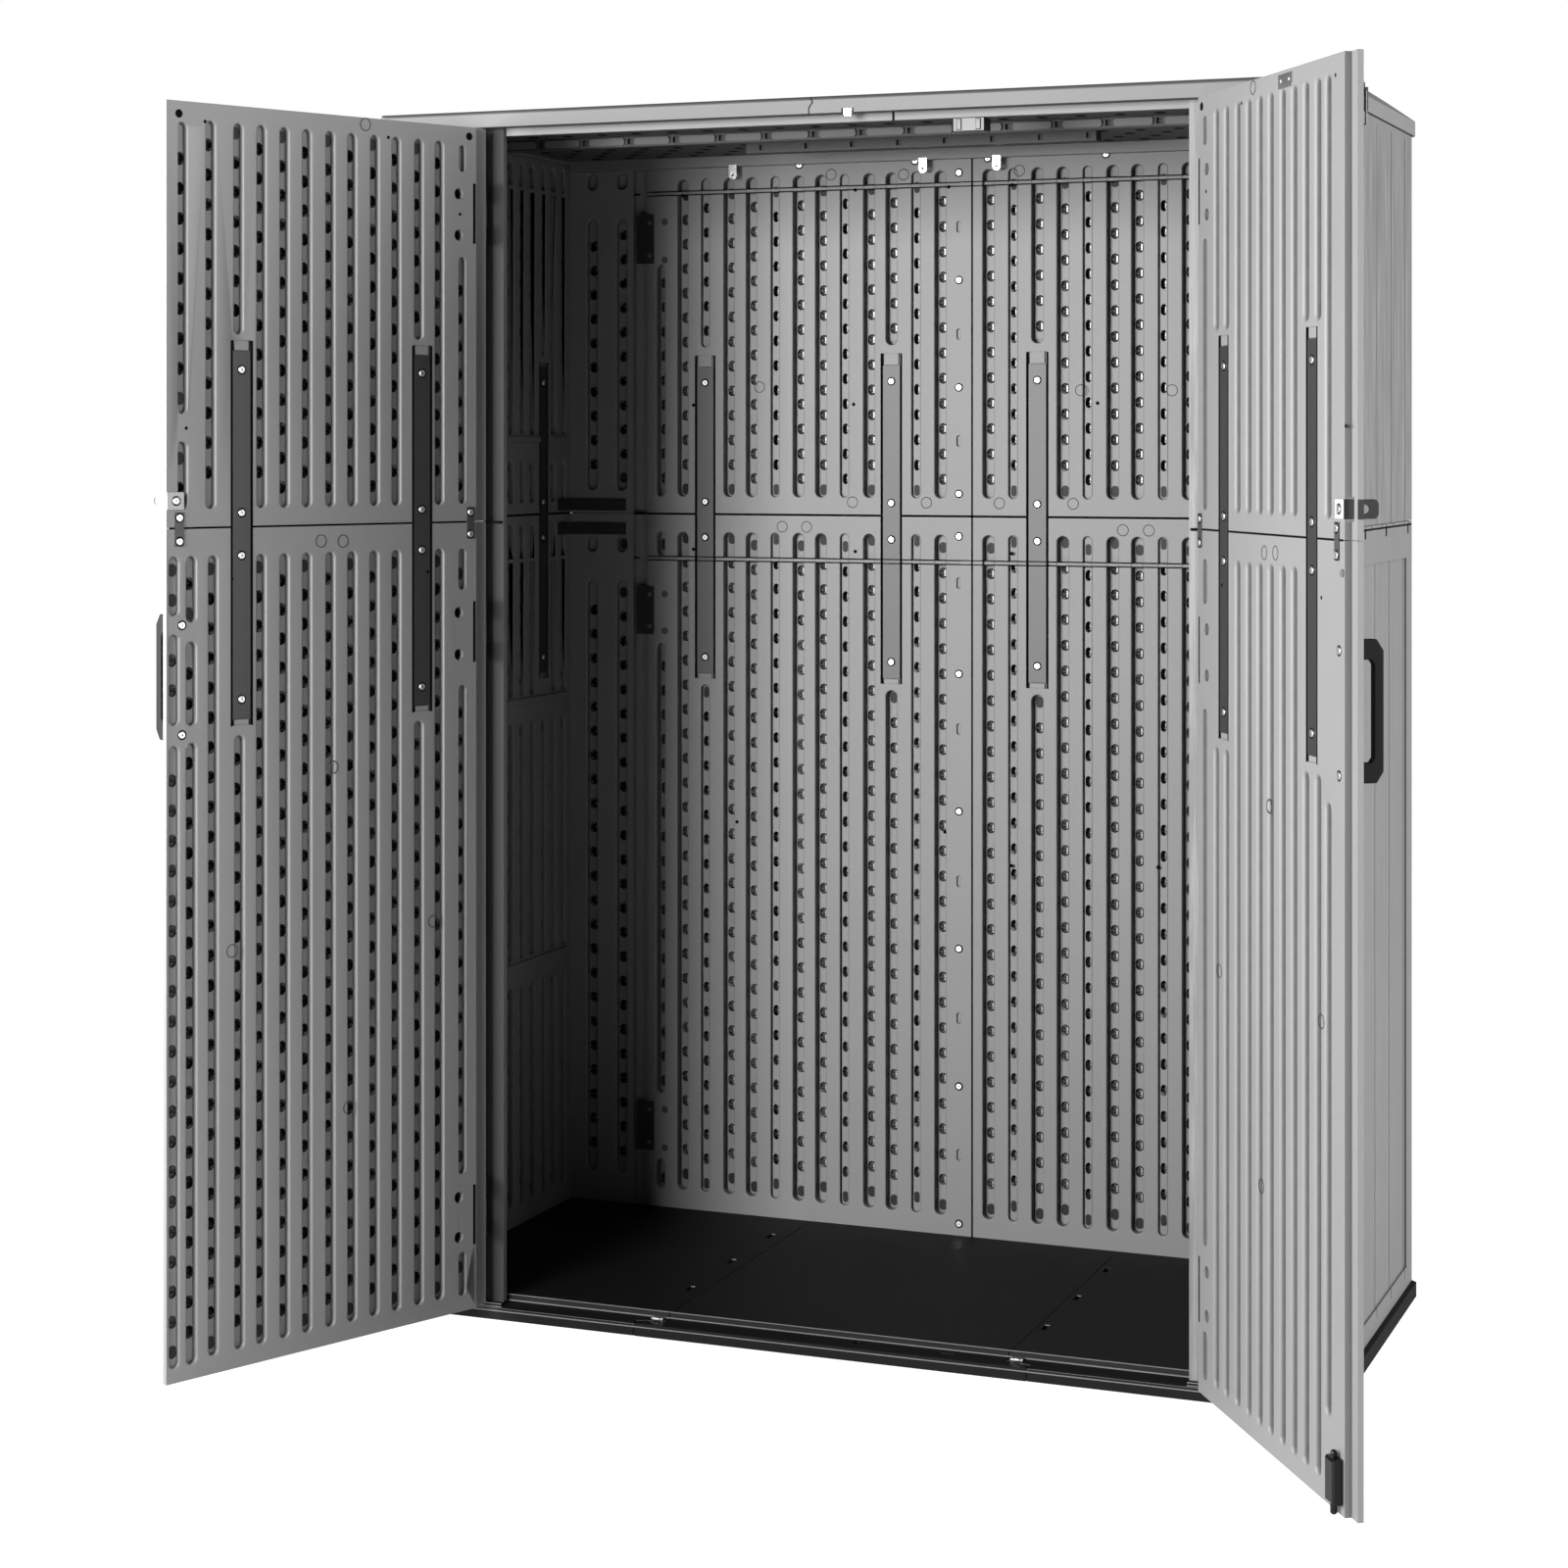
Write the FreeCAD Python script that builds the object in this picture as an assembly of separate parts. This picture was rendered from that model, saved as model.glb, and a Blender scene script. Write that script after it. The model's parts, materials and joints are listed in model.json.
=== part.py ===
import FreeCAD, Part
import math
import os

# Upright garden storage cabinet with two open doors, in millimetres.
# Origin: centre of the base's bottom face. X right, Y to the back, Z up.
# Doors are drawn closed and then turned open about their hinge pins.

V = FreeCAD.Vector
os.makedirs("parts", exist_ok=True)

# Overall sizes
WALL_X = 731.5
WALL_Y = 320.0
WALL_T = 20.0
WALL_BOTTOM = 23.0
WALL_TOP = 1809.0
WALL_JOINT = 1210.0
SEAM = 1.0
BASE_X = 740.0
BASE_Y = 327.0
FLOOR_Z = 28.0
ROOF_X = 737.0
ROOF_Y = 335.0
RIM_H = 25.5
RIM_TOP = WALL_TOP + RIM_H
CEILING_RISE = 6.0
CEILING = WALL_TOP + CEILING_RISE
HEADER_H = 17.0
LEDGE_Y = 282.0
ROOF_RISE = 22.0
CENTRE_SEAM_X = 17.2

# Hinges and doors
PIN_X = 560.0
PIN_Y = -327.5
PIN_R = 2.5
RUN_CLEAR = 0.05
KNUCKLE_R = 4.0
KNUCKLE_GAP = 0.5
HINGE_H = 91.0
HINGE_LOW = (WALL_BOTTOM + 99.0, 1000.0, WALL_TOP - 178.0)
FRAME_KNUCKLE = 28.0
DOOR_BOTTOM = 26.0
DOOR_TOP_GAP = 3.0
DOOR_H = WALL_TOP - DOOR_TOP_GAP - DOOR_BOTTOM
DOOR_OUT = PIN_Y + 4.5
DOOR_IN = PIN_Y + 20.7
DOOR_EDGE = 29.0
LIP_END = 26.5
LIP_BACK = PIN_Y + 11.0
DOOR_JOINT = 1186.0
MEET_GAP = 1.5
RIGHT_W = 513.0
RIGHT_LIP = RIGHT_W + 19.5
LEFT_W = 2 * (PIN_X - DOOR_EDGE) - RIGHT_W - MEET_GAP
LEFT_FULL = LEFT_W - 19.1
TONGUE_Y = -314.7
LAP_Y = -315.2
LEFT_OPEN = 114.0
RIGHT_OPEN = 123.9
LEAF_T = 2.0
LEAF_FIT = 0.2
BAR_W = 30.0
BAR_L = 519.5
BAR_T = 4.0
BAR_FIT = 2.0
GROOVE_D = 6.0
DEEP_D = 15.0
DOOR_GROOVE_D = 8.0
RIB_H = 6.0
RIB_SINK = 0.6
RIB_LINE = 1.4
RIBS = (WALL_JOINT - 76.0, WALL_TOP - 53.0)
BAR_SCREWS = (0.053, 0.444, 0.56, 0.949)
WIDE = 19.5
NARROW = 15.0

# Hardware
DOOR_END_X = PIN_X - DOOR_EDGE - RIGHT_W
BOLT_X = DOOR_END_X + 18.0
BOLT_Y = -300.0
BOLT_R = 4.5
BOLT_TRAVEL = 18.0
HANDLE_LOW = 889.0
HANDLE_H = 176.0
HANDLE_OUT = 40.0
GRIP_T = 12.8
HANDLE_W = 12.0
HASP_Z = 1238.0
HASP_H = 24.0
HASP_T = 2.0
HASP_ROUND = 7.0
LATCH_X = DOOR_END_X + 16.0
LATCH_Y = -331.0
LATCH_Z = DOOR_BOTTOM + DOOR_H - 35.0
BAIL_Y = LATCH_Y - 6.0
BAIL_Z = LATCH_Z - 11.0
WIRE_R = 1.25
STRIKE_X = 207.5


FRONTWARD = V(0, -1, 0)
BACKWARD = V(0, 1, 0)


def block(x0, x1, y0, y1, z0, z1):
    lo = V(min(x0, x1), min(y0, y1), min(z0, z1))
    return Part.makeBox(abs(x1 - x0), abs(y1 - y0), abs(z1 - z0), lo)


def rod(x, y, z, r, length, way):
    return Part.makeCylinder(r, length, V(x, y, z), way)


def upright(points, z0, z1):
    pts = [V(x, y, z0) for x, y in points]
    pts.append(pts[0])
    return Part.Face(Part.makePolygon(pts)).extrude(V(0, 0, z1 - z0))


def along_x(points, x0, x1):
    pts = [V(x0, y, z) for y, z in points]
    pts.append(pts[0])
    return Part.Face(Part.makePolygon(pts)).extrude(V(x1 - x0, 0, 0))


def along_y(points, y0, y1):
    pts = [V(x, y0, z) for x, z in points]
    pts.append(pts[0])
    return Part.Face(Part.makePolygon(pts)).extrude(V(0, y1 - y0, 0))


def groove(x, z0, z1, width, y0, y1):
    r = width / 2.0
    a = V(x - r, y0, z0 + r)
    b = V(x + r, y0, z0 + r)
    c = V(x + r, y0, z1 - r)
    d = V(x - r, y0, z1 - r)
    low = Part.Arc(a, V(x, y0, z0), b).toShape()
    high = Part.Arc(c, V(x, y0, z1), d).toShape()
    right = Part.makeLine(b, c)
    left = Part.makeLine(d, a)
    wire = Part.Wire([low, right, high, left])
    return Part.Face(wire).extrude(V(0, y1 - y0, 0))


def side_groove(y, z0, z1, width, x0, x1):
    s = groove(0, z0, z1, width, x0, x1)
    s.rotate(V(0, 0, 0), V(0, 0, 1), -90)
    s.translate(V(0, y, 0))
    return s


def cut(shape, tools):
    return shape.cut(tools) if tools else shape


def join(shapes):
    return shapes[0].fuse(shapes[1:]).removeSplitter()


def save(name, shape):
    shape.exportStep("parts/" + name + ".step")


def group(name, shapes):
    save(name, shapes[0] if len(shapes) == 1 else Part.makeCompound(shapes))


# Base: three floor panels with a stepped front edge and a threshold ridge

FLOOR_SEAM = 265.0
STEP_LEFT = -309.0
STEP_RIGHT = 301.0
TREAD_BACK = -293.5
CREST = 31.0

profile = [(-BASE_Y, 0), (-BASE_Y, 13.5), (-BASE_Y + 3, 17.5), (TREAD_BACK, 21.5),
           (TREAD_BACK + 1.5, CREST), (TREAD_BACK + 4.5, FLOOR_Z), (298, FLOOR_Z),
           (298, WALL_BOTTOM), (BASE_Y, WALL_BOTTOM), (BASE_Y, 0)]
whole_base = along_x(profile, -BASE_X, BASE_X)
corner = 14.0
corners = []
for sx in (-1, 1):
    for sy in (-1, 1):
        px = sx * BASE_X
        py = sy * BASE_Y
        k = corner if sy > 0 else 5.0
        corners.append(upright([(px - sx * k, py), (px + sx, py + sy * 0.1), (px, py - sy * k)], -1, 40))
whole_base = cut(whole_base, corners)
sills = []
for sx in (-1, 1):
    sills.append(block(sx * 710, sx * (BASE_X + 1), -WALL_Y - 0.5, BASE_Y + 1, WALL_BOTTOM, 50))
    sills.append(block(sx * 532, sx * (BASE_X + 1), -WALL_Y - 0.5, -299.5, WALL_BOTTOM, 50))
whole_base = cut(whole_base, sills)
floor_fill = []
for sx in (-1, 1):
    floor_fill.append(block(sx * 532, sx * 731.5, -WALL_Y - 0.5, -299.5, 17, WALL_BOTTOM))
    floor_fill.append(block(sx * 710, sx * 731.5, -299.5, 298, 17, WALL_BOTTOM))
whole_base = join([whole_base] + floor_fill)

half = SEAM / 2.0
mid_left = [(-FLOOR_SEAM + half, BASE_Y + 5), (-FLOOR_SEAM + half, -305), (STEP_LEFT + half, -312),
            (STEP_LEFT + half, -BASE_Y - 5)]
mid_right = [(STEP_RIGHT - half, -BASE_Y - 5), (STEP_RIGHT - half, -312), (FLOOR_SEAM - half, -305),
             (FLOOR_SEAM - half, BASE_Y + 5)]
centre_zone = upright(mid_left + mid_right, -5, 60)
left_zone = upright([(-BASE_X - 9, BASE_Y + 5), (-BASE_X - 9, -BASE_Y - 5),
                     (STEP_LEFT - half, -BASE_Y - 5), (STEP_LEFT - half, -312),
                     (-FLOOR_SEAM - half, -305), (-FLOOR_SEAM - half, BASE_Y + 5)], -5, 60)
right_zone = upright([(BASE_X + 9, BASE_Y + 5), (BASE_X + 9, -BASE_Y - 5),
                      (STEP_RIGHT + half, -BASE_Y - 5), (STEP_RIGHT + half, -312),
                      (FLOOR_SEAM + half, -305), (FLOOR_SEAM + half, BASE_Y + 5)], -5, 60)

slot_cuts = []
for yy in (183.0, 14.5, -154.0):
    slot_cuts.append(block(274, 281, yy - 13, yy + 13, FLOOR_Z - 6, FLOOR_Z + 5))
    slot_cuts.append(block(-296, -289, yy - 13, yy + 13, FLOOR_Z - 6, FLOOR_Z + 5))
bolt_hole = rod(BOLT_X, BOLT_Y, 4, 6.0, 60, V(0, 0, 1))
shallow = block(162, 188, -309, -302, 16.5, 40)
save("floor_centre", cut(whole_base.common(centre_zone), [bolt_hole, shallow]))
save("floor_left", cut(whole_base.common(left_zone), slot_cuts))
save("floor_right", cut(whole_base.common(right_zone), slot_cuts))

clips = []
for cx in (-280.0, 280.0):
    foot = block(cx - 9, cx + 9, -306, -294.5, 22.0, 23.6)
    tongue = block(cx - 5, cx + 5, -309, -306, 22.0, 24.6)
    clips.append(foot)
    clips.append(tongue)
group("floor_clips", [join([clips[0], clips[1], block(-289, -271, -306, -300, 20.9, 22.0)]),
                      join([clips[2], clips[3], block(271, 289, -306, -300, 20.9, 22.0)])])

# Side walls: grooved inside, boards outside, upper and lower halves

SIDE_GROOVES = [31, 71, 112, 152, 195, 233, 272]
BOARDS = (-205.0, -88.0, 28.0, 143.0, 259.0)
DRIP_SLOTS = (-229.0, -62.0, 105.0, 290.0)
DRIP_TICKS = (-180.0, -110.0, -13.0, 68.0, 164.0, 253.0)
LEDGES = (455.0, 894.0, 1332.0)
LEDGE_H = 9.0
LEDGE_GAP = 30.0
LOWER_GROOVE = (WALL_BOTTOM + 36.0, WALL_JOINT - 14.0)
UPPER_GROOVE = (WALL_JOINT + 20.0, WALL_TOP - 9.0)
BAR_LOW = 940.0


def side_tools(sx, lower):
    tools = []
    inner = sx * (WALL_X - WALL_T)
    outer = sx * WALL_X
    start, end = LOWER_GROOVE if lower else UPPER_GROOVE
    spans = []
    for z in LEDGES:
        if start < z < end:
            spans.append((start, z - LEDGE_GAP))
            start = z + LEDGE_H + 4
    spans.append((start, end))
    for i, y in enumerate(SIDE_GROOVES):
        for sy in (-1, 1):
            width = WIDE if i % 2 else NARROW
            depth = DOOR_GROOVE_D if i % 2 else GROOVE_D
            for z0, z1 in spans:
                if y == 195 and lower:
                    z1 = min(z1, BAR_LOW - 20)
                if y == 195 and not lower:
                    z0 = max(z0, BAR_LOW + BAR_L + 20)
                if z1 - z0 < 40:
                    continue
                tools.append(side_groove(sy * y, z0, z1, width, inner - sx * 2, inner + sx * depth))
    depth = 2.0
    if lower:
        tools.append(block(outer + sx * 2, outer - sx * 3, -272, 272, WALL_BOTTOM + 32, WALL_JOINT - 57))
        for y in DRIP_SLOTS:
            tools.append(block(outer + sx * 2, outer - sx * 4, y - 2.5, y + 2.5, WALL_JOINT - 19, WALL_JOINT))
        for y in DRIP_TICKS:
            tools.append(block(outer + sx * 2, outer - sx * 3, y - 2, y + 2, WALL_JOINT - 6, WALL_JOINT))
        depth = 4.5
    z0, z1 = (WALL_BOTTOM + 17, WALL_JOINT - 57) if lower else (WALL_JOINT + 0.4, WALL_TOP - 9)
    for y in BOARDS:
        tools.append(block(outer + sx * 2, outer - sx * depth, y - 1.5, y + 1.5, z0, z1))
    return tools


for side, sx in (("left", -1), ("right", 1)):
    for part, z0, z1 in (("lower", WALL_BOTTOM, WALL_JOINT - half), ("upper", WALL_JOINT + half, WALL_TOP)):
        wall = block(sx * WALL_X, sx * (WALL_X - WALL_T), -WALL_Y, WALL_Y, z0, z1)
        wall = cut(wall, side_tools(sx, part == "lower"))
        ledges = []
        for z in LEDGES:
            if z0 < z < z1:
                face = sx * (WALL_X - WALL_T)
                ledges.append(block(face + sx * 5, face - sx * 3, -285, 285, z, z + LEDGE_H))
        for z in RIBS:
            if z0 < z < z1:
                face = sx * (WALL_X - WALL_T + RIB_SINK)
                ledges.append(block(face, face + sx * 5, -290, 290, z - RIB_H / 2, z + RIB_H / 2))
        wall = join([wall] + ledges)
        w = BAR_W / 2 + BAR_FIT
        seats = []
        for sy in (-1, 1):
            face = sx * (WALL_X - WALL_T)
            seats.append(block(face - sx * 4, face + sx * (BAR_T + 0.2), sy * 195 - w, sy * 195 + w,
                               BAR_LOW - 8, BAR_LOW + BAR_L + 8))
        save("side_wall_%s_%s" % (side, part), cut(wall, seats))

# Corner panels: front ones carry the door hinges, rear ones the back connectors

for side, sx in (("left", -1), ("right", 1)):
    for part, z0, z1 in (("lower", WALL_BOTTOM, WALL_JOINT - half), ("upper", WALL_JOINT + half, WALL_TOP)):
        inx = WALL_X - WALL_T
        front = join([block(sx * inx, sx * (PIN_X + 3), -WALL_Y, -WALL_Y + WALL_T, z0, z1),
                      block(sx * (PIN_X + 3.5), sx * (PIN_X - 27), PIN_Y + 17, -WALL_Y + WALL_T, z0, z1)])
        tools = []
        for h in HINGE_LOW:
            if z0 < h < z1:
                tools.append(block(sx * (PIN_X - 1), sx * (PIN_X + 36.2), PIN_Y + 12 - LEAF_FIT,
                                   PIN_Y + 14 + LEAF_FIT, h - LEAF_FIT, h + HINGE_H + LEAF_FIT))
        lo, hi = (WALL_BOTTOM + 37, WALL_JOINT - 60) if part == "lower" else (WALL_JOINT + 26, WALL_TOP - 29)
        for gx in (604.0, 645.0, 686.0):
            tools.append(groove(sx * gx, lo, hi, NARROW, -WALL_Y + WALL_T + 2, -WALL_Y + WALL_T - GROOVE_D))
        tools.append(block(sx * 639.5, sx * 642.5, -WALL_Y - 2, -WALL_Y + 1.5, lo - 16, hi + 8))
        save("front_corner_%s_%s" % (side, part), cut(front, tools))
        rear = join([block(sx * inx, sx * 592, WALL_Y - WALL_T, WALL_Y, z0, z1),
                     block(sx * 593, sx * 567.5, WALL_Y - 9, WALL_Y, z0, z1)])
        tools = []
        lo, hi = LOWER_GROOVE if part == "lower" else UPPER_GROOVE
        rib = RIBS[0] if part == "lower" else RIBS[1]
        for gx, w, depth in ((670.0, WIDE, DOOR_GROOVE_D), (614.0, WIDE, DOOR_GROOVE_D)):
            for a, b in ((lo + 20, rib - 40), (rib + 10, rib + 38)):
                tools.append(groove(sx * gx, a, b, w, WALL_Y - WALL_T - 2, WALL_Y - WALL_T + depth))
        tools.append(block(sx * 639.5, sx * 642.5, WALL_Y + 2, WALL_Y - 1.5, lo - 16, hi + 8))
        rear = cut(rear, tools)
        for z in RIBS:
            if z0 < z < z1:
                face = WALL_Y - WALL_T + RIB_SINK
                rear = join([rear, block(sx * 598, sx * 682, face, face + 5, z - RIB_H / 2, z + RIB_H / 2)])
        save("rear_corner_%s_%s" % (side, part), rear)

# Back wall: four grooved panels meeting a little right of the middle

BACK_IN = 300.0
BACK_EDGE = 566.0
LEFT_BACK = [541, 500, 458.5, 415, 374, 331, 289, 248.5, 206.6, 163, 123.4, 80.5, 38]
RIGHT_BACK = [45, 87, 128.5, 171.5, 213, 255, 296, 338, 379.5, 421, 463.5, 505, 545]
BACK_BARS = (-458.5, -123.4, 128.5, 463.5)
CONNECTORS = ((122.0, 206.0), (1004.0, 1086.0), (WALL_TOP - 172.0, WALL_TOP - 88.0))
CONNECTOR_SPANS_LOW = ((LOWER_GROOVE[0], CONNECTORS[0][0] - 14), (CONNECTORS[0][1] + 15, CONNECTORS[1][0] - 15),
                       (RIBS[0] + 5, LOWER_GROOVE[1]))
CONNECTOR_SPANS_HIGH = ((UPPER_GROOVE[0], CONNECTORS[2][0] - 2), (RIBS[1] + 6, RIBS[1] + 35))
DIMPLE_X = 533.4
SCREW_COLUMN = (WALL_TOP - 34, WALL_TOP - 210.5, WALL_TOP - 387, WALL_JOINT + 37, WALL_JOINT - 33,
                WALL_JOINT - 259, WALL_JOINT - 485, WALL_JOINT - 711, WALL_JOINT - 937, WALL_JOINT - 1163)
CLIP_LOW = 9.0
CLIP_HIGH = 20.0
SEAM_SLOTS = (WALL_TOP - 123, WALL_TOP - 299.5, WALL_TOP - 475, WALL_JOINT - 110, WALL_JOINT - 350,
              610, 385, 160)

for side, sx in (("left", -1), ("right", 1)):
    for part, z0, z1 in (("lower", WALL_BOTTOM, WALL_JOINT - half), ("upper", WALL_JOINT + half, WALL_TOP)):
        inner_edge = CENTRE_SEAM_X - half if side == "left" else CENTRE_SEAM_X + half
        panel = block(sx * BACK_EDGE, inner_edge, BACK_IN, WALL_Y, z0, z1)
        tools = []
        recesses = []
        clips = []
        spans = [LOWER_GROOVE] if part == "lower" else [UPPER_GROOVE]
        for i, gx in enumerate(LEFT_BACK if side == "left" else RIGHT_BACK):
            x = sx * gx
            shallow = i % 3 == (2 if side == "left" else 1)
            width = NARROW if shallow else WIDE
            depth = GROOVE_D if shallow else DEEP_D
            barred = x in BACK_BARS
            column = spans
            if gx > 540:
                column = CONNECTOR_SPANS_LOW if part == "lower" else CONNECTOR_SPANS_HIGH
                width = NARROW
                for c0, c1 in CONNECTORS:
                    for z in (c0 + 6, c1 - 13):
                        if z0 < z < z1:
                            tools.append(rod(sx * DIMPLE_X, BACK_IN - 1, z, 5.0, 6, BACKWARD))
            for lo, hi in column:
                if barred and part == "lower":
                    hi = min(hi, BAR_LOW - 20)
                if barred and part == "upper":
                    lo = max(lo, BAR_LOW + BAR_L + CLIP_HIGH + 14)
                if hi - lo > 30:
                    tools.append(groove(x, lo, hi, width, BACK_IN - 2, BACK_IN + depth))
            if barred:
                w = BAR_W / 2 + BAR_FIT
                recesses.append(block(x - w, x + w, BACK_IN - 2, BACK_IN + BAR_T + 0.2, BAR_LOW - CLIP_LOW,
                                      BAR_LOW + BAR_L + CLIP_HIGH))
                bar_top = BAR_LOW + BAR_L
                for a, b in ((BAR_LOW - CLIP_LOW - 1, BAR_LOW - 1), (bar_top + 1, bar_top + CLIP_HIGH + 1)):
                    if z0 < a < z1:
                        clips.append(block(x - 12, x + 12, BACK_IN + 1, BACK_IN + BAR_T + 1, a, b))
        if side == "left":
            for z in SEAM_SLOTS:
                if z0 < z < z1:
                    tools.append(groove(-5.6, z - 9.5, z + 9.5, 8.5, BACK_IN - 2, BACK_IN + 4))
        for bx in (120.0, 240.0, 360.0, 480.0):
            tools.append(block(sx * bx - 1.5, sx * bx + 1.5, WALL_Y + 2, WALL_Y - 1.5, z0 + 20, z1 - 20))
        panel = cut(panel, tools)
        for z in RIBS:
            if z0 < z < z1:
                face = BACK_IN + RIB_SINK
                end = inner_edge + sx * 20
                panel = join([panel, block(sx * 556, end, face, face + 5, z - RIB_H / 2, z + RIB_H / 2)])
                for edge in (-1, 1):
                    line = z + edge * (RIB_H / 2 - RIB_LINE / 2)
                    recesses.append(block(sx * 556, end, BACK_IN - 1, BACK_IN + 2, line - RIB_LINE / 2,
                                          line + RIB_LINE / 2))
        panel = cut(panel, recesses)
        if clips:
            panel = join([panel] + clips)
        save("back_panel_%s_%s" % (side, part), panel)

# Steel bars set into the back and side walls, each held by four screws


def bar_y(x, y_low, y_high, z):
    return block(x - BAR_W / 2, x + BAR_W / 2, y_low, y_high, z, z + BAR_L)


bars = [bar_y(x, BACK_IN + 0.2, BACK_IN + BAR_T, BAR_LOW) for x in BACK_BARS]
group("back_bars", bars)
side_bars = []
for sx in (-1, 1):
    face = sx * (WALL_X - WALL_T)
    for sy in (-1, 1):
        side_bars.append(block(face + sx * 0.2, face + sx * BAR_T, sy * 195 - BAR_W / 2, sy * 195 + BAR_W / 2,
                               BAR_LOW, BAR_LOW + BAR_L))
group("side_bars", side_bars)


def head(x, y, z, way, r=4.2, t=1.4):
    flat = rod(x, y, z, r, t * 0.5, way)
    top = Part.makeCone(r, r * 0.55, t * 0.5, V(x, y, z) + V(way.x, way.y, way.z) * t * 0.5, way)
    socket = V(x, y, z) + V(way.x, way.y, way.z) * t * 0.45
    hole = Part.makeCylinder(r * 0.3, t, socket, way)
    return flat.fuse(top).removeSplitter().cut(hole)


bar_screws = []
for x in BACK_BARS:
    for share in BAR_SCREWS:
        bar_screws.append(head(x, BACK_IN + 0.2, BAR_LOW + share * BAR_L, FRONTWARD))
for z in SCREW_COLUMN:
    bar_screws.append(head(-5.6, BACK_IN, z, FRONTWARD, 3.6, 1.2))
group("back_screws", bar_screws)
side_screws = []
for sx in (-1, 1):
    for sy in (-1, 1):
        for share in BAR_SCREWS:
            side_screws.append(head(sx * (WALL_X - WALL_T + 0.2), sy * 195, BAR_LOW + share * BAR_L,
                                    V(-sx, 0, 0)))
group("side_screws", side_screws)

# Rear connectors and the corner plates over the middle joint

for side, sx in (("left", -1), ("right", 1)):
    shapes = []
    for z0, z1 in CONNECTORS:
        barrel = rod(sx * 581, BACK_IN + 3.5, z0, 4.0, z1 - z0, V(0, 0, 1))
        leaf = block(sx * 585, sx * 553, BACK_IN - 2, BACK_IN, z0, z1)
        shapes.append(join([barrel, leaf]))
        for z in (z0 + 14, z1 - 14):
            shapes.append(head(sx * 561, BACK_IN - 2, z, FRONTWARD, 3.6, 1.2))
    group("rear_connectors_" + side, shapes)

plates = []
for sx in (-1, 1):
    for z in (WALL_JOINT - 26, WALL_JOINT + 15):
        face = sx * (WALL_X - WALL_T)
        arm = block(face - sx * 1.6, face - sx * 106, BACK_IN - 1.6, BACK_IN, z - 10.5, z + 10.5)
        leg = block(face, face - sx * 1.6, BACK_IN - 51, BACK_IN, z - 10.5, z + 10.5)
        dips = [rod(face - sx * d, BACK_IN - 1.0, z, 3.4, 2, FRONTWARD) for d in (30, 62, 92)]
        plates.append(join([arm, leg]).cut(dips))
group("corner_plates", plates)

# Roof: two crowned halves, header, beams and small brackets under them

arc_pts = []
steps = 10
for i in range(steps + 1):
    y = -ROOF_Y + 6 + i * (2 * ROOF_Y - 12) / steps
    lift = ROOF_RISE * (1 - (y / (ROOF_Y - 6)) ** 2)
    arc_pts.append((y, RIM_TOP + lift))
roof_profile = [(-ROOF_Y, WALL_TOP), (-ROOF_Y, RIM_TOP - 5)] + arc_pts
roof_profile += [(ROOF_Y, RIM_TOP - 5), (ROOF_Y, WALL_TOP)]
roof = along_x(roof_profile, -ROOF_X, ROOF_X)
end_cut = 30.0
for sx in (-1, 1):
    high = RIM_TOP + ROOF_RISE + 40
    wedge = along_y([(sx * (ROOF_X - end_cut), high), (sx * (ROOF_X - end_cut), RIM_TOP + ROOF_RISE + 1),
                     (sx * ROOF_X, RIM_TOP - 3), (sx * (ROOF_X + 9), RIM_TOP - 3), (sx * (ROOF_X + 9), high)],
                    -400, 400)
    roof = roof.cut(wedge)
    for sy in (-1, 1):
        px = sx * ROOF_X
        py = sy * ROOF_Y
        r = 16.0
        nick = upright([(px - sx * r, py + sy), (px + sx, py + sy), (px + sx, py - sy * r), (px, py - sy * r),
                        (px - sx * r * 0.08, py - sy * r * 0.6), (px - sx * r * 0.3, py - sy * r * 0.3),
                        (px - sx * r * 0.6, py - sy * r * 0.08), (px - sx * r, py)], WALL_TOP - 20, high)
        roof = roof.cut(nick)
roof = roof.cut(block(-ROOF_X + 32, ROOF_X - 32, -ROOF_Y + 23, ROOF_Y - 39, WALL_TOP - 1, CEILING))
roof = roof.cut(block(LATCH_X - 9, LATCH_X + 9, -ROOF_Y - 2, -ROOF_Y + 5, WALL_TOP - 1, CEILING))
zig_low = WALL_TOP - 29
zig_top = RIM_TOP + ROOF_RISE + 45
zig = [(-26, zig_low), (-26, RIM_TOP - 16.5), (-20, RIM_TOP - 8.5), (-26, RIM_TOP + 1.5), (-26, zig_top)]
left_half = along_y([(-800, zig_low)] + [(x - half, z) for x, z in zig] + [(-800, zig_top)], -400, 400)
right_half = along_y([(800, zig_low)] + [(x + half, z) for x, z in zig] + [(800, zig_top)], -400, 400)
save("roof_left", roof.common(left_half))
save("roof_right", roof.common(right_half))

BEAMS = ((-60.0, -704.0, 704.0), (110.0, -300.0, 285.0))
BEAM_NOTCHES = [-663 + 78 * i for i in range(18)]
TAB_W = 14.5
header_low = CEILING - HEADER_H
header = block(-532, 532, -304, -292, header_low, CEILING)
header = header.cut([block(92, 95, -310, -280, header_low - 5, CEILING + 5)])
group("roof_header", header.Solids)
beams = []
for y, x0, x1 in BEAMS:
    beam = block(x0, x1, y - 14, y + 14, CEILING - 16, CEILING)
    notches = [block(x - 4, x + 4, y - 20, y - 8, CEILING - 12, CEILING - 3)
               for x in BEAM_NOTCHES if x0 < x < x1]
    beams.append(beam.cut(notches))
group("roof_beams", beams)
ledge = block(-704, 704, LEDGE_Y, LEDGE_Y + 14, CEILING - 18, CEILING)
tabs = []
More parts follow.
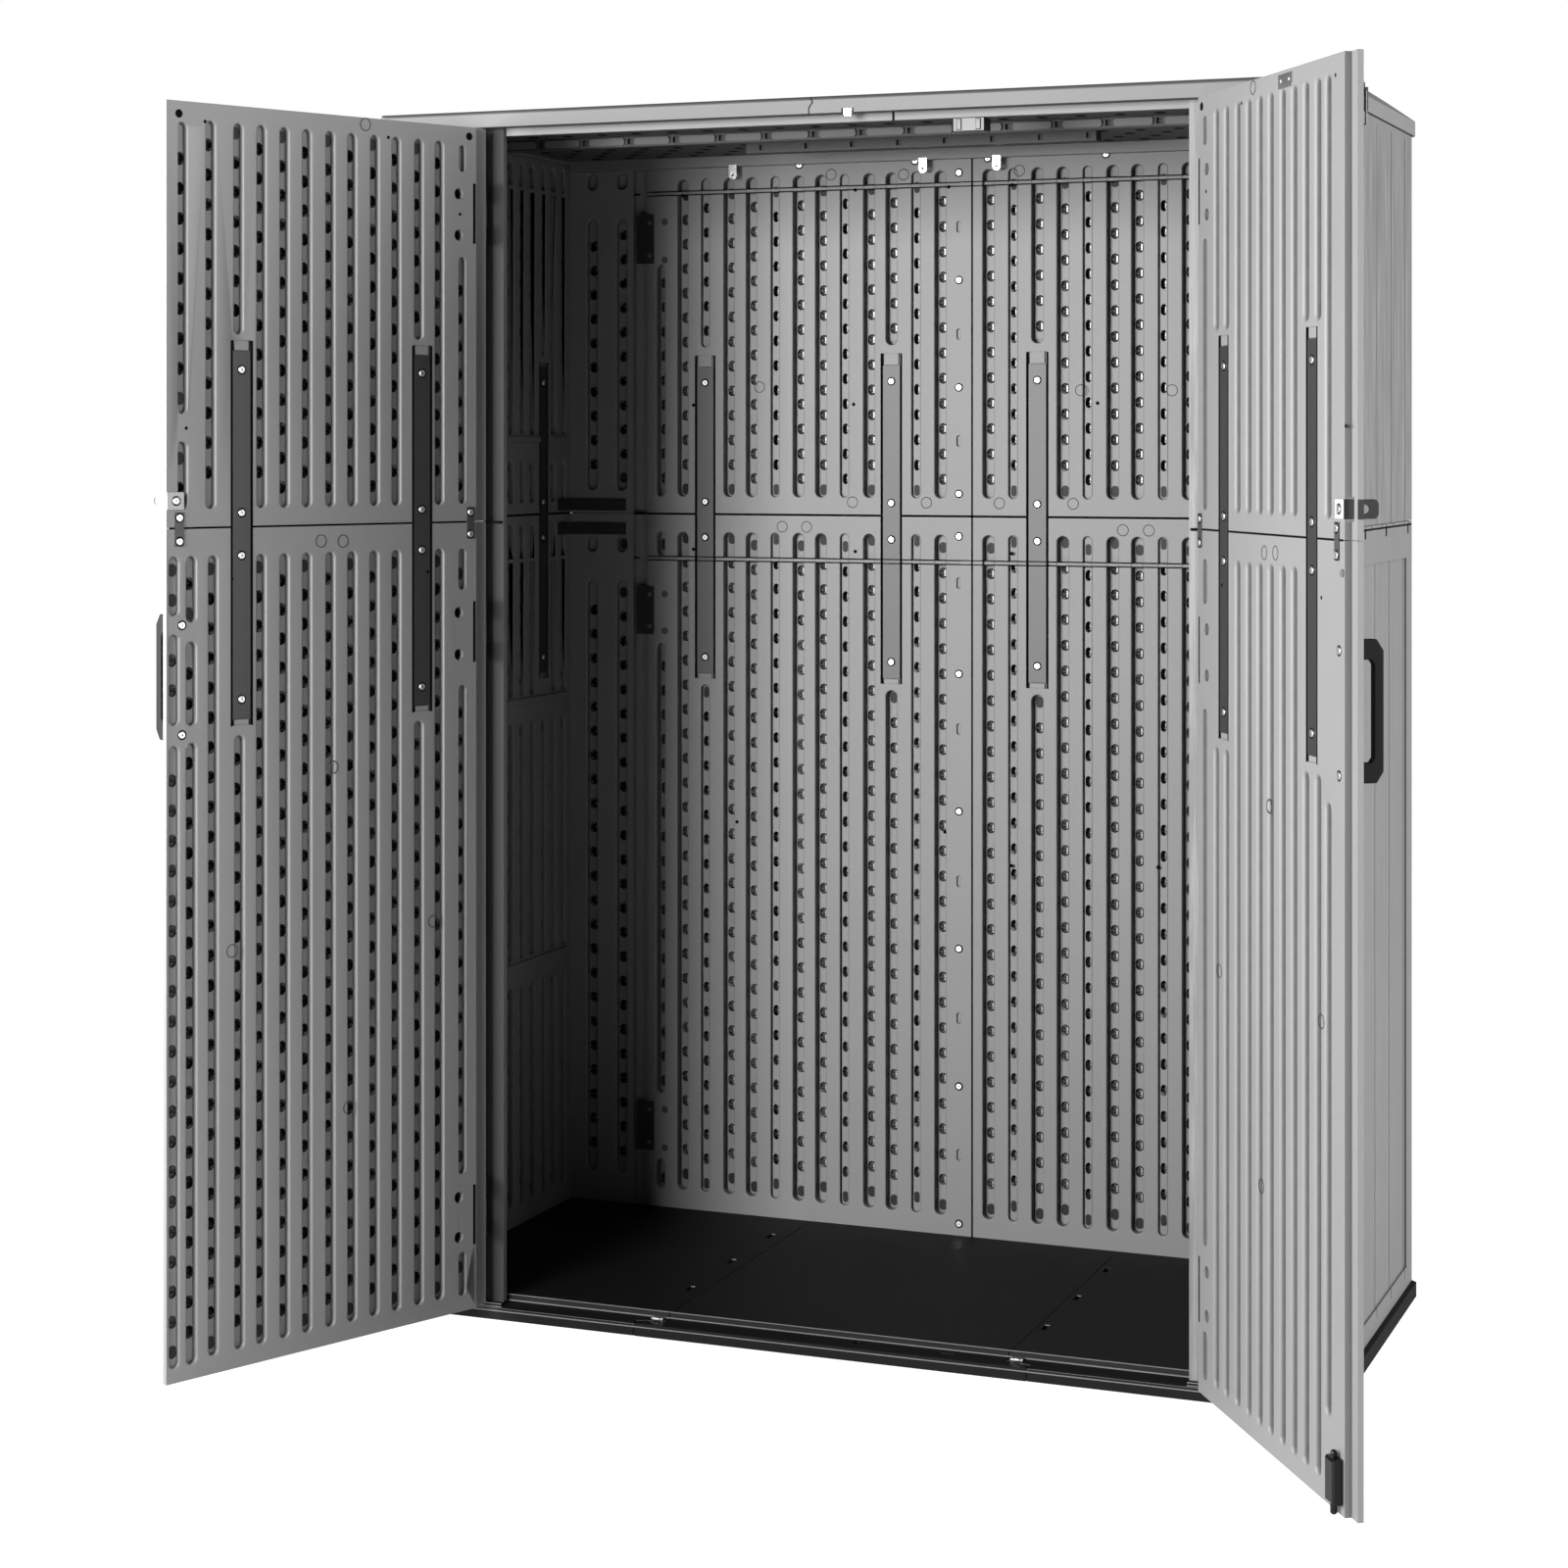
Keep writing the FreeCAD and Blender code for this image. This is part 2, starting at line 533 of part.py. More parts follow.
for x in (-400.0, -62.0, 65.0, 400.0):
    strap = block(x - TAB_W / 2, x + TAB_W / 2, LEDGE_Y - 1.6, LEDGE_Y, CEILING - 32, CEILING - 15)
    end = groove(x, CEILING - 40, CEILING - 20, TAB_W, LEDGE_Y - 1.6, LEDGE_Y)
    tabs.append(join([strap, end]).cut(rod(x, LEDGE_Y + 1, CEILING - 33, 2.2, 4, FRONTWARD)))
save("rear_ledge", ledge)
group("rear_tabs", tabs)

magnet_top = header_low
magnet = block(STRIKE_X - 23.5, STRIKE_X + 23.5, -302.5, -272, magnet_top - 18.8, magnet_top)
lugs = [block(STRIKE_X - 18, STRIKE_X - 11, -304.3, -302.5, magnet_top - 17, magnet_top - 2),
        block(STRIKE_X + 11, STRIKE_X + 18, -304.3, -302.5, magnet_top - 17, magnet_top - 2)]
save("magnetic_catch", join([magnet] + lugs))
catch = block(LATCH_X - 6, LATCH_X + 6, -ROOF_Y + 0.5, -ROOF_Y + 5, WALL_TOP - 5, CEILING)
catch = join([catch, rod(LATCH_X - 6, -ROOF_Y + 1.4, WALL_TOP - 4.5, 1.6, 12, V(1, 0, 0))])
save("roof_catch", catch)

# Door hinges: frame half carries the pin, door half turns round it


def place(shape, side):
    sx = -1 if side == "left" else 1
    angle = -LEFT_OPEN if side == "left" else RIGHT_OPEN
    shape.rotate(V(sx * PIN_X, PIN_Y, 0), V(0, 0, 1), angle)
    return shape


for side, sx in (("left", -1), ("right", 1)):
    frame_parts = []
    door_parts = []
    px = sx * PIN_X
    for h in HINGE_LOW:
        top = h + HINGE_H
        pin = rod(px, PIN_Y, h - 1.5, PIN_R, HINGE_H + 3, V(0, 0, 1))
        cap = rod(px, PIN_Y, top, 3.4, 2.0, V(0, 0, 1))
        foot = rod(px, PIN_Y, h - 2.0, 3.4, 2.0, V(0, 0, 1))
        pieces = [pin, cap, foot]
        for z0 in (h, top - FRAME_KNUCKLE):
            pieces.append(rod(px, PIN_Y, z0, KNUCKLE_R, FRAME_KNUCKLE, V(0, 0, 1)))
            pieces.append(block(px - 1, px + 1, PIN_Y + 3, PIN_Y + 14, z0, z0 + FRAME_KNUCKLE))
        pieces.append(block(px + sx * 1, px + sx * 36, PIN_Y + 12, PIN_Y + 14, h, top))
        frame_parts.append(join(pieces))
        z0 = h + FRAME_KNUCKLE + KNUCKLE_GAP
        z1 = top - FRAME_KNUCKLE - KNUCKLE_GAP
        ring = rod(px, PIN_Y, z0, KNUCKLE_R, z1 - z0, V(0, 0, 1))
        web = block(px + sx * 1, px - sx * 2.3, PIN_Y + 3, PIN_Y + 9.5, z0, z1)
        tie = block(px - sx * 1, px - sx * 4, PIN_Y + 7.5, PIN_Y + 9.5, z0, z1)
        leaf = block(px - sx * 2.6, px - sx * 36, PIN_Y + 7.5, PIN_Y + 9.5, h, top)
        bore = rod(px, PIN_Y, z0 - 1, PIN_R + RUN_CLEAR, z1 - z0 + 2, V(0, 0, 1))
        door_parts.append(join([ring, web, tie, leaf]).cut(bore))
    group("hinge_frame_" + side, frame_parts)
    group("hinge_door_" + side, [place(s, side) for s in door_parts])

# Doors: overlapping edges, grooves inside, boards outside


def at(side, s):
    sx = -1 if side == "left" else 1
    return sx * (PIN_X - DOOR_EDGE - s)


def dblock(side, s0, s1, y0, y1, z0, z1):
    return block(at(side, s0), at(side, s1), y0, y1, DOOR_BOTTOM + z0, DOOR_BOTTOM + z1)


def dgroove(side, s, z0, z1, width, depth=DOOR_GROOVE_D):
    return groove(at(side, s), DOOR_BOTTOM + z0, DOOR_BOTTOM + z1, width, DOOR_IN + 2, DOOR_IN - depth)


UP_GROOVES = [26.6, 69.4, 108, 149.7, 189, 230, 269, 310, 349, 388.5, 427.6, 474]
LOW_GROOVES = [26.6, 69.4, 108, 149.7, 190, 230, 269, 310, 349, 389, 426, 470]
RIGHT_GROOVES = [26.6, 69.4, 108, 149.7, 190, 230, 269, 310, 349, 388.5, 427.6, 460]
DOOR_BARS = {"left": (102.5, 422.6), "right": (98.0, 408.0)}
DOOR_BAR_Z = 915.0
PLATE_S = {"left": (11.5, LEFT_W - 20.8), "right": (8.0, RIGHT_W - 23.0)}
HANDLE_S = {"left": LEFT_W - 25.5, "right": RIGHT_W - 18.0}
DOOR_WIDTH = {"left": LEFT_W, "right": RIGHT_W}

for side in ("left", "right"):
    if side == "left":
        outline = [(-LIP_END, DOOR_OUT), (LEFT_FULL, DOOR_OUT), (LEFT_FULL, TONGUE_Y), (LEFT_W, TONGUE_Y),
                   (LEFT_W, DOOR_IN), (0, DOOR_IN), (0, LIP_BACK), (-LIP_END, LIP_BACK)]
    else:
        outline = [(-LIP_END, DOOR_OUT), (RIGHT_LIP, DOOR_OUT), (RIGHT_LIP, LAP_Y), (RIGHT_W, LAP_Y),
                   (RIGHT_W, DOOR_IN), (0, DOOR_IN), (0, LIP_BACK), (-LIP_END, LIP_BACK)]
    points = [(at(side, s), y) for s, y in outline]
    for part, z0, z1 in (("lower", 0.0, DOOR_JOINT - half), ("upper", DOOR_JOINT + half, DOOR_H)):
        body = upright(points, DOOR_BOTTOM + z0, DOOR_BOTTOM + z1)
        tools = []
        clips = []
        for h in HINGE_LOW:
            lz = h - DOOR_BOTTOM
            if z0 < lz < z1:
                tools.append(dblock(side, -LIP_END - 1, 7.3, PIN_Y + 7.5 - LEAF_FIT, PIN_Y + 9.5 + LEAF_FIT,
                                    lz - LEAF_FIT, lz + HINGE_H + LEAF_FIT))
                tools.append(dblock(side, 1.0, 6.0, PIN_Y + 9, DOOR_IN + 1, lz - LEAF_FIT, lz + HINGE_H))
        grooves = UP_GROOVES if part == "upper" else LOW_GROOVES
        if side == "right":
            grooves = RIGHT_GROOVES
        for i, s in enumerate(grooves):
            lo, hi = (DOOR_JOINT + 27, DOOR_H - 25) if part == "upper" else (26.0, DOOR_JOINT - 40)
            nearest = min(abs(s - b) for b in DOOR_BARS[side])
            if nearest < 30:
                if part == "upper":
                    lo = DOOR_BAR_Z + BAR_L + 24
                else:
                    hi = DOOR_BAR_Z - 24
            if i == 0 and part == "upper":
                hi = DOOR_H - 196
                tools.append(dgroove(side, s, DOOR_H - 68, DOOR_H - 28, 13.0))
            if side == "right" and i == 11 and part == "lower":
                lo = 110.0
                hi = 860.0
            tools.append(dgroove(side, s, lo, hi, NARROW))
        if side == "left" and part == "upper":
            tools.append(dgroove(side, 523.0, DOOR_JOINT + 160, DOOR_H - 25, 12.0, 4.0))
            tools.append(dgroove(side, 523.5, DOOR_JOINT + 76, DOOR_JOINT + 120, 12.0, 4.0))
        if side == "left" and part == "lower":
            tools.append(dgroove(side, 506.0, 26, 860, 12.0, 4.0))
        for s in DOOR_BARS[side]:
            w = BAR_W / 2 + BAR_FIT
            tools.append(dblock(side, s - w, s + w, DOOR_IN - BAR_T - 0.2, DOOR_IN + 2, DOOR_BAR_Z - CLIP_LOW,
                                DOOR_BAR_Z + BAR_L + 15))
            bar_top = DOOR_BAR_Z + BAR_L
            for a, b in ((DOOR_BAR_Z - CLIP_LOW - 1, DOOR_BAR_Z - 1), (bar_top + 1, bar_top + 16)):
                if z0 < a < z1:
                    clips.append(dblock(side, s - 12, s + 12, DOOR_IN - BAR_T - 1, DOOR_IN - 1, a, b))
        for h, rises in zip(HINGE_LOW, ((16.0, 76.0), (13.0, 76.0), (11.5, 73.5))):
            for rise in rises:
                if z0 < h - DOOR_BOTTOM + rise < z1:
                    tools.append(rod(at(side, 33.4), DOOR_IN + 1, h + rise, 5.0, 8, FRONTWARD))
        width = DOOR_WIDTH[side]
        for b in (96.0, 192.0, 288.0, 384.0):
            x = at(side, b)
            lo, hi = (z0 + 24, z1 - 24)
            tools.append(block(x - 1.5, x + 1.5, DOOR_OUT - 1, DOOR_OUT + 1.5, DOOR_BOTTOM + lo,
                               DOOR_BOTTOM + hi))
        if part == "upper":
            hz0 = HASP_Z - DOOR_BOTTOM
            if side == "left":
                tools.append(dblock(side, LEFT_W - HASP_T - 0.2, LEFT_W + 1, TONGUE_Y - 1, DOOR_IN + 1,
                                    hz0 - 0.2, hz0 + HASP_H + 0.2))
            else:
                tools.append(dblock(side, RIGHT_W - HASP_T - 0.2, RIGHT_W + 2, DOOR_OUT - 1, DOOR_IN + 1,
                                    hz0 - 0.2, hz0 + HASP_H + 0.2))
                tools.append(dblock(side, RIGHT_W + 0.5, RIGHT_W + 9, DOOR_OUT - 1, LAP_Y + 1,
                                    hz0 - 3, hz0 + HASP_H + 3))
        if side == "right" and part == "lower":
            shank_z = DOOR_BOTTOM + 53.0
            tools.append(groove(BOLT_X, shank_z - BOLT_TRAVEL - 4, shank_z + 4, 7.0, DOOR_OUT - 1, DOOR_IN + 1))
        body = cut(body, tools)
        if clips:
            body = join([body] + clips)
        save("%s_door_%s" % (side, part), place(body, side))

    strips = []
    for s in DOOR_BARS[side]:
        strips.append(dblock(side, s - BAR_W / 2, s + BAR_W / 2, DOOR_IN - BAR_T, DOOR_IN - 0.2, DOOR_BAR_Z,
                             DOOR_BAR_Z + BAR_L))
    group(side + "_door_bars", [place(s, side) for s in strips])

    screws = []
    for s in DOOR_BARS[side]:
        for share in BAR_SCREWS:
            z = DOOR_BOTTOM + DOOR_BAR_Z + share * BAR_L
            screws.append(head(at(side, s), DOOR_IN - 0.2, z, BACKWARD))
    for z in (HANDLE_LOW + 9.5, HANDLE_LOW + HANDLE_H - 14):
        screws.append(head(at(side, HANDLE_S[side]), DOOR_IN, DOOR_BOTTOM + z, BACKWARD))
    group(side + "_door_screws", [place(s, side) for s in screws])

    plates = []
    for s in PLATE_S[side]:
        plate = dblock(side, s - 7, s + 7, DOOR_IN, DOOR_IN + 1.5, DOOR_JOINT - 25, DOOR_JOINT + 22)
        dimple = [rod(at(side, s), DOOR_IN + 0.9, DOOR_BOTTOM + DOOR_JOINT + d, 3.4, 2, BACKWARD)
                  for d in (-18.5, 14.5)]
        plates.append(plate.cut(dimple))
    group(side + "_joint_plates", [place(s, side) for s in plates])

    x = at(side, HANDLE_S[side])
    far = DOOR_OUT - HANDLE_OUT
    z0 = DOOR_BOTTOM + HANDLE_LOW
    z1 = z0 + HANDLE_H
    grip = [(DOOR_OUT, z0), (DOOR_OUT, z0 + 25), (far + GRIP_T + 4, z0 + 25), (far + GRIP_T, z0 + 31),
            (far + GRIP_T, z1 - 31), (far + GRIP_T + 4, z1 - 25), (DOOR_OUT, z1 - 25), (DOOR_OUT, z1),
            (far + 9, z1), (far, z1 - 14), (far, z0 + 14), (far + 9, z0)]
    save(side + "_handle", place(along_x(grip, x - HANDLE_W / 2, x + HANDLE_W / 2), side))

    hole_r = 5.5
    if side == "left":
        outer = DOOR_OUT - 18
        xs = (LEFT_W - HASP_T, LEFT_W)
        span = (TONGUE_Y, DOOR_IN)
    else:
        outer = DOOR_OUT - 28
        xs = (RIGHT_W - HASP_T, RIGHT_W)
        span = (DOOR_OUT, DOOR_IN)
    strap = block(at(side, xs[0]), at(side, xs[1]), outer, DOOR_IN, HASP_Z, HASP_Z + HASP_H)
    ends = [e for e in strap.Edges if e.BoundBox.YMax < outer + 0.1 and e.BoundBox.ZLength < 0.1]
    strap = strap.makeFillet(HASP_ROUND, ends)
    fold = block(at(side, xs[0] - 26), at(side, xs[1]), DOOR_IN, DOOR_IN + 1.6, HASP_Z, HASP_Z + HASP_H)
    eyelet = rod(-200, DOOR_OUT - 10, HASP_Z + HASP_H / 2, hole_r, 400, V(1, 0, 0))
    hasp = join([strap, fold]).cut(eyelet)
    pip = rod(at(side, xs[0] - 13), DOOR_IN + 1.0, HASP_Z + HASP_H / 2, 3.4, 2, BACKWARD)
    save(side + "_hasp", place(hasp.cut(pip), side))

# Right door extras: strike plate, plug, bolt with its housing, draw latch

door_top = DOOR_BOTTOM + DOOR_H
strike = block(STRIKE_X - 23.5, STRIKE_X + 23.5, DOOR_IN, DOOR_IN + 2, door_top - 23, door_top - 5)
strike = strike.cut([rod(STRIKE_X + d, DOOR_IN + 1.2, door_top - 14, 2.8, 3, BACKWARD) for d in (-14, 14)])
save("strike_plate", place(strike, "right"))
plug = rod(at("right", RIGHT_W - 7), DOOR_IN, DOOR_BOTTOM + DOOR_JOINT - 40, 5.0, 1.6, BACKWARD)
save("door_plug", place(plug, "right"))

shank_z = DOOR_BOTTOM + 53.0
house = block(BOLT_X - 13, BOLT_X + 13, DOOR_IN, DOOR_IN + 14, DOOR_BOTTOM + 14, DOOR_BOTTOM + 69)
house = house.makeChamfer(2.5, [e for e in house.Edges if abs(e.BoundBox.YMin - DOOR_IN - 14) < 0.01])
house = house.cut([rod(BOLT_X, BOLT_Y, 20, BOLT_R + RUN_CLEAR + 0.02, 90, V(0, 0, 1)),
                   groove(BOLT_X, shank_z - BOLT_TRAVEL - 4, shank_z + 4, 7.0, DOOR_IN - 1, BOLT_Y)])
save("bolt_housing", place(house, "right"))

tip = Part.makeCone(BOLT_R - 1.5, BOLT_R, 2.0, V(BOLT_X, BOLT_Y, DOOR_BOTTOM), V(0, 0, 1))
shaft = rod(BOLT_X, BOLT_Y, DOOR_BOTTOM + 2, BOLT_R, 72, V(0, 0, 1))
dome = Part.makeSphere(BOLT_R, V(BOLT_X, BOLT_Y, DOOR_BOTTOM + 74))
shank = rod(BOLT_X, BOLT_Y, shank_z, 3.0, BOLT_Y - DOOR_OUT + 4.5, FRONTWARD)
knob = along_y([(BOLT_X - 14, shank_z - 10), (BOLT_X + 14, shank_z - 10), (BOLT_X + 4, shank_z + 12),
                (BOLT_X - 4, shank_z + 12)], DOOR_OUT - 1.0, DOOR_OUT - 9)
save("bolt", place(join([shaft, tip, dome, shank, knob]), "right"))

side = "right"
base = block(LATCH_X - 7, LATCH_X + 7, DOOR_OUT - 2, DOOR_OUT, LATCH_Z - 21, LATCH_Z + 23)
ears = []
for x0, x1 in ((LATCH_X - 6, LATCH_X - 4), (LATCH_X + 4, LATCH_X + 6)):
    ears.append(block(x0, x1, LATCH_Y - 1, DOOR_OUT - 1, LATCH_Z - 5, LATCH_Z + 5))
    ears.append(rod(x0, LATCH_Y - 0.0, LATCH_Z, 5.0, 2, V(1, 0, 0)))
pin = rod(LATCH_X - 7, LATCH_Y, LATCH_Z, 2.0, 14, V(1, 0, 0))
save("latch_base", place(join([base] + ears + [pin]), side))

barrel = rod(LATCH_X - 3.6, LATCH_Y, LATCH_Z, 4.2, 7.2, V(1, 0, 0))
neck = block(LATCH_X - 3.6, LATCH_X + 3.6, LATCH_Y - 7.5, LATCH_Y, LATCH_Z - 8, LATCH_Z - 1)
arm = block(LATCH_X - 7, LATCH_X + 7, LATCH_Y - 10, LATCH_Y - 5.4, LATCH_Z - 35, LATCH_Z - 7)
arm_pad = block(LATCH_X - 7, LATCH_X + 7, BAIL_Y - 4, BAIL_Y + 3, BAIL_Z - 3.6, BAIL_Z + 3.6)
lever = join([barrel, neck, arm, arm_pad])
lever = lever.cut([rod(LATCH_X - 9, LATCH_Y, LATCH_Z, 2.0 + RUN_CLEAR, 18, V(1, 0, 0)),
                   rod(LATCH_X - 12, BAIL_Y, BAIL_Z, WIRE_R + RUN_CLEAR, 24, V(1, 0, 0))])
save("latch_lever", place(lever, side))

wx = 9.5
low = BAIL_Z - 41.0
cross = rod(LATCH_X - wx, BAIL_Y, BAIL_Z, WIRE_R, 2 * wx, V(1, 0, 0))
bottom = rod(LATCH_X - wx, BAIL_Y, low, WIRE_R, 2 * wx, V(1, 0, 0))
legs = []
for x in (LATCH_X - wx, LATCH_X + wx):
    legs.append(rod(x, BAIL_Y, low, WIRE_R, BAIL_Z - low, V(0, 0, 1)))
    legs.append(Part.makeSphere(WIRE_R, V(x, BAIL_Y, low)))
    legs.append(Part.makeSphere(WIRE_R, V(x, BAIL_Y, BAIL_Z)))
save("latch_bail", place(join([cross, bottom] + legs), side))
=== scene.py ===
import json
import math

import bmesh
import bpy
from mathutils import Matrix, Vector


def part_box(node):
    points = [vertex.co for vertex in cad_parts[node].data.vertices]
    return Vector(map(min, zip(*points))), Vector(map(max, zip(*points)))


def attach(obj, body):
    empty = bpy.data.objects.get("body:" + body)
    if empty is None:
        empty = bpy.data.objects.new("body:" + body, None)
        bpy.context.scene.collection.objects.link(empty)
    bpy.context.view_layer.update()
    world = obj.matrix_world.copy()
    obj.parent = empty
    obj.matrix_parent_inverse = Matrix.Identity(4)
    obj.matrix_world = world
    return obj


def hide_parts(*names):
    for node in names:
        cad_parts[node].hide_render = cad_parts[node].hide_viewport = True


bl_info = {
    "name": "Garden Storage Cabinet",
    "version": (1, 0, 0),
    "blender": (4, 5, 0),
    "location": "View3D > Sidebar > Cabinet",
    "description": "Dresses the packed cabinet with moulded panels, steel bars, hardware and a studio",
    "category": "Object",
}

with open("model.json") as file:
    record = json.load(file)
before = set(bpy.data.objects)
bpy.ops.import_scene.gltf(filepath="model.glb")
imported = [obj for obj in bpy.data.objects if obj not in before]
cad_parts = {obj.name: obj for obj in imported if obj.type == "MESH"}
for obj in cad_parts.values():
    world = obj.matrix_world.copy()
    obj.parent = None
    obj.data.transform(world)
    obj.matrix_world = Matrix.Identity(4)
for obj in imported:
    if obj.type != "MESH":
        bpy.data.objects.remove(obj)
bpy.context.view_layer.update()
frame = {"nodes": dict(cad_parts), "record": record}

MM = 0.001
BODY_OF = {node: body for body, nodes in frame["record"]["behaviour"]["bodies"].items() for node in nodes}
SLOT_OF = {part["node"]: part["material_slot"] for part in frame["record"]["subparts"]}
SIGN = {"left": -1, "right": 1}
DOOR_OPEN = {"left": math.radians(-114.0), "right": math.radians(123.9)}
PIN_X = 560.0 * MM
PIN_Y = -327.5 * MM
DOOR_INSIDE = PIN_Y + 20.7 * MM
BACK_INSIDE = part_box("back_panel_left_lower")[0][1]
WALL_INSIDE = 711.5 * MM
TILE_WIDE = 16 * MM
SCREW_HEAD = 5.2 * MM
SCREW_SEAT = 7.0 * MM
WELD = 0.02 * MM
CAMERA_SPOT = (1.5775, -4.5066, 1.3294)
CAMERA_TURN = math.radians(21.487)
CAMERA_LENS = 70.56
CAMERA_SHIFT = -0.2170

# sizes from here on are in mm
DOOR_EDGE = 29.0        # from the pin to a door's hinge edge
DOOR_FOOT = 26.0        # height of a door's bottom edge
JOINT = 1210.0          # height of the middle joint
SEAM_X = 17.2           # the upright joint of the back wall
RIBS = (1134, 1756)     # heights of the back wall's ribs
BACK_FACE = 300.0       # inner face of the back wall
BACK_HALF = 566.0       # half the width of its panels
WALL_OUT = 731.0        # outer face of the side walls
HASP_FOLD = -309.0      # the right hasp's strap lies in front of this, on the closed door; there it is painted dark as shade
PLATE_Z = 1186.0        # middle of the joint plates on a door
DIMPLE_HALF = 8.5
BASE_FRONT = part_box("floor_left")[0][1] / MM
CREST = 31.0            # top of the threshold
JOINT_TEETH = (-61.4, 102.7, 286.0)
# groove ends of the back wall: a band of heights and how far it moves
BACK_SLIDES = {"lower": ((1185.5, 1197.0, -17.0),), "upper": ((1789.5, 1801.0, -21.0), (1229.0, 1240.5, 10.0))}
# the doors' hinge column, whose groove stops at each hinge, and the left door's free edge
HINGE_COLUMN = 26.6
HINGE_SPANS = ((49.0, 115.0), (232.0, 967.0), (1110.0, 1172.0))
EDGE_COLUMNS = ((534.5, 15.0, 5.5, ((47.0, 909.0), (939.0, 1064.0), (1091.0, 1172.0))),
                (506.0, 16.0, 8.0, ((47.0, 912.0), (937.0, 1053.0), (1081.0, 1172.0))))
EDGE_COLUMN_HIGH = (521.0, 16.0, 8.0, ((1240.0, 1332.0), (1372.0, 1776.0)))
EDGE_FILLS_LOW = ((506.0, 47.0, 891.0),)
EDGE_FILLS_HIGH = ((523.5, 1284.0, 1336.0), (523.0, 1367.0, 1786.0))
DIMPLE_COLUMN = 33.4
HINGE_DIMPLES = (112.0, 172.0, 987.0, 1050.0, 1616.5, 1678.5)
BACK_BARS = (-458.5, -123.4, 128.5, 463.5)
SIDE_BARS = (-195, 195)
BAR_HALF = 17.5
BAR_GAPS = (-17.2, 17.2)   # the dark gaps beside a bar
HINGE_SLOTS = ((97.0, 186.0), (975.0, 1066.0), (1605.0, 1695.0))
DOOR_BARS = {"left": (102.5, 422.6), "right": (98.0, 408.0)}
LEDGE_SCREWS = (-287, -82, 44, 244)
DOOR_WIDE = {"left": 547.5, "right": 513.0}
PLATE_S = {"left": (11.5, 526.7), "right": (8.0, 490.0)}
DOOR_HOLES = ((484, 1754), (165, 1754), (515, 1325), (31, 1648), (439, 1113), (92, 1113))
DOOR_RINGS = ((286, 1163), (247, 1162), (265, 835), (439, 589), (82, 592), (237, 338), (207, 1770))
BACK_HOLES = ((-500, 1752), (-187, 1752), (-23, 1752), (85, 1752), (400, 1752), (-480, 1395), (-190, 1395),
              (230, 1395), (-480, 1150), (-187, 1150), (85, 1150), (400, 1150), (-400, 690), (-30, 690),
              (85, 640), (330, 650))
BACK_RINGS = ((-192, 1232), (-62, 1232), (64, 1232), (189, 1232), (-318, 1190), (-274, 1190), (272, 1190),
              (315, 1190), (-359, 1425), (202, 1416), (353, 1415), (-230, 1779), (98, 1775), (-102, 1775))


# Settings

class CabinetPanels(bpy.types.PropertyGroup):
    """Sizes of the moulded panels"""
    lip: bpy.props.FloatProperty(name="Lip radius", description="Rounding of the walls' moulded edges",
                                 default=1.8 * MM, min=0.0, unit="LENGTH")
    door_lip: bpy.props.FloatProperty(name="Door lip radius", description="Rounding of the doors' moulded edges",
                                      default=2.6 * MM, min=0.0, unit="LENGTH")
    pitch: bpy.props.FloatProperty(name="Pocket pitch", description="Distance between pockets along a groove",
                                   default=41.75 * MM, min=0.02, unit="LENGTH")
    pocket_tall: bpy.props.FloatProperty(name="Pocket height", description="Height of a pocket",
                                         default=18.5 * MM, min=0.004, unit="LENGTH")
    pocket_share: bpy.props.FloatProperty(name="Pocket share", default=0.82, min=0.2, max=0.9, subtype="FACTOR",
                                          description="Part of a wall groove's width that its pockets take")
    door_share: bpy.props.FloatProperty(name="Door pocket share", default=0.93, min=0.2, max=0.95, subtype="FACTOR",
                                        description="Part of a door groove's width that its pockets take")
    wall_deep: bpy.props.FloatProperty(name="Back pocket floor", default=18.0 * MM, min=0.002, unit="LENGTH",
                                       description="Depth of pocket floors in the back")
    side_deep: bpy.props.FloatProperty(name="Side pocket floor", default=14.5 * MM, min=0.002, unit="LENGTH",
                                       description="Depth of pocket floors in the side walls, recessed outside")
    door_deep: bpy.props.FloatProperty(name="Door pocket floor", default=14.0 * MM, min=0.002, unit="LENGTH",
                                       description="Depth of pocket floors in the doors")


class CabinetFinish(bpy.types.PropertyGroup):
    """Colours of the plastics and metals"""
    panel: bpy.props.StringProperty(name="Panel grey", description="sRGB hex of the wall and door plastic",
                                    default="646464")
    roof: bpy.props.StringProperty(name="Roof grey", description="sRGB hex of the roof plastic",
                                   default="686868")
    floor: bpy.props.StringProperty(name="Floor black", description="sRGB hex of the base plastic",
                                    default="080808")
    bar: bpy.props.StringProperty(name="Bar grey", description="sRGB hex of the powder coat on the bars",
                                  default="2e2e2e")
    zinc: bpy.props.StringProperty(name="Zinc", description="sRGB hex of the zinc plating", default="c8c8c8")
    chrome: bpy.props.StringProperty(name="Bright plate", description="sRGB hex of the bright plating",
                                     default="d6d6d6")
    texture: bpy.props.FloatProperty(name="Mould texture", description="Size of the fine mould texture, drawn "
                                     "coarser than the real 0.3 mm so that it shows", default=1.6 * MM,
                                     min=0.0002, unit="LENGTH")


class CabinetStage(bpy.types.PropertyGroup):
    """Camera and light"""
    key: bpy.props.FloatProperty(name="Key light", description="Strength of the front light", default=515.0,
                                 min=0.0)
    left: bpy.props.FloatProperty(name="Left light", description="Strength of the light on the right door's "
                                  "inner face", default=335.0, min=0.0)
    fill: bpy.props.FloatProperty(name="Side light", description="Strength of the light on the right side wall",
                                  default=365.0, min=0.0)
    mirror: bpy.props.FloatProperty(name="Reflected surround", description="Share of the white surround that "
                                    "glossy surfaces reflect", default=0.12, min=0.0, max=1.0, subtype="FACTOR")
    sky: bpy.props.FloatProperty(name="Surround", description="Strength of the even light from all round",
                                 default=0.05, min=0.0)


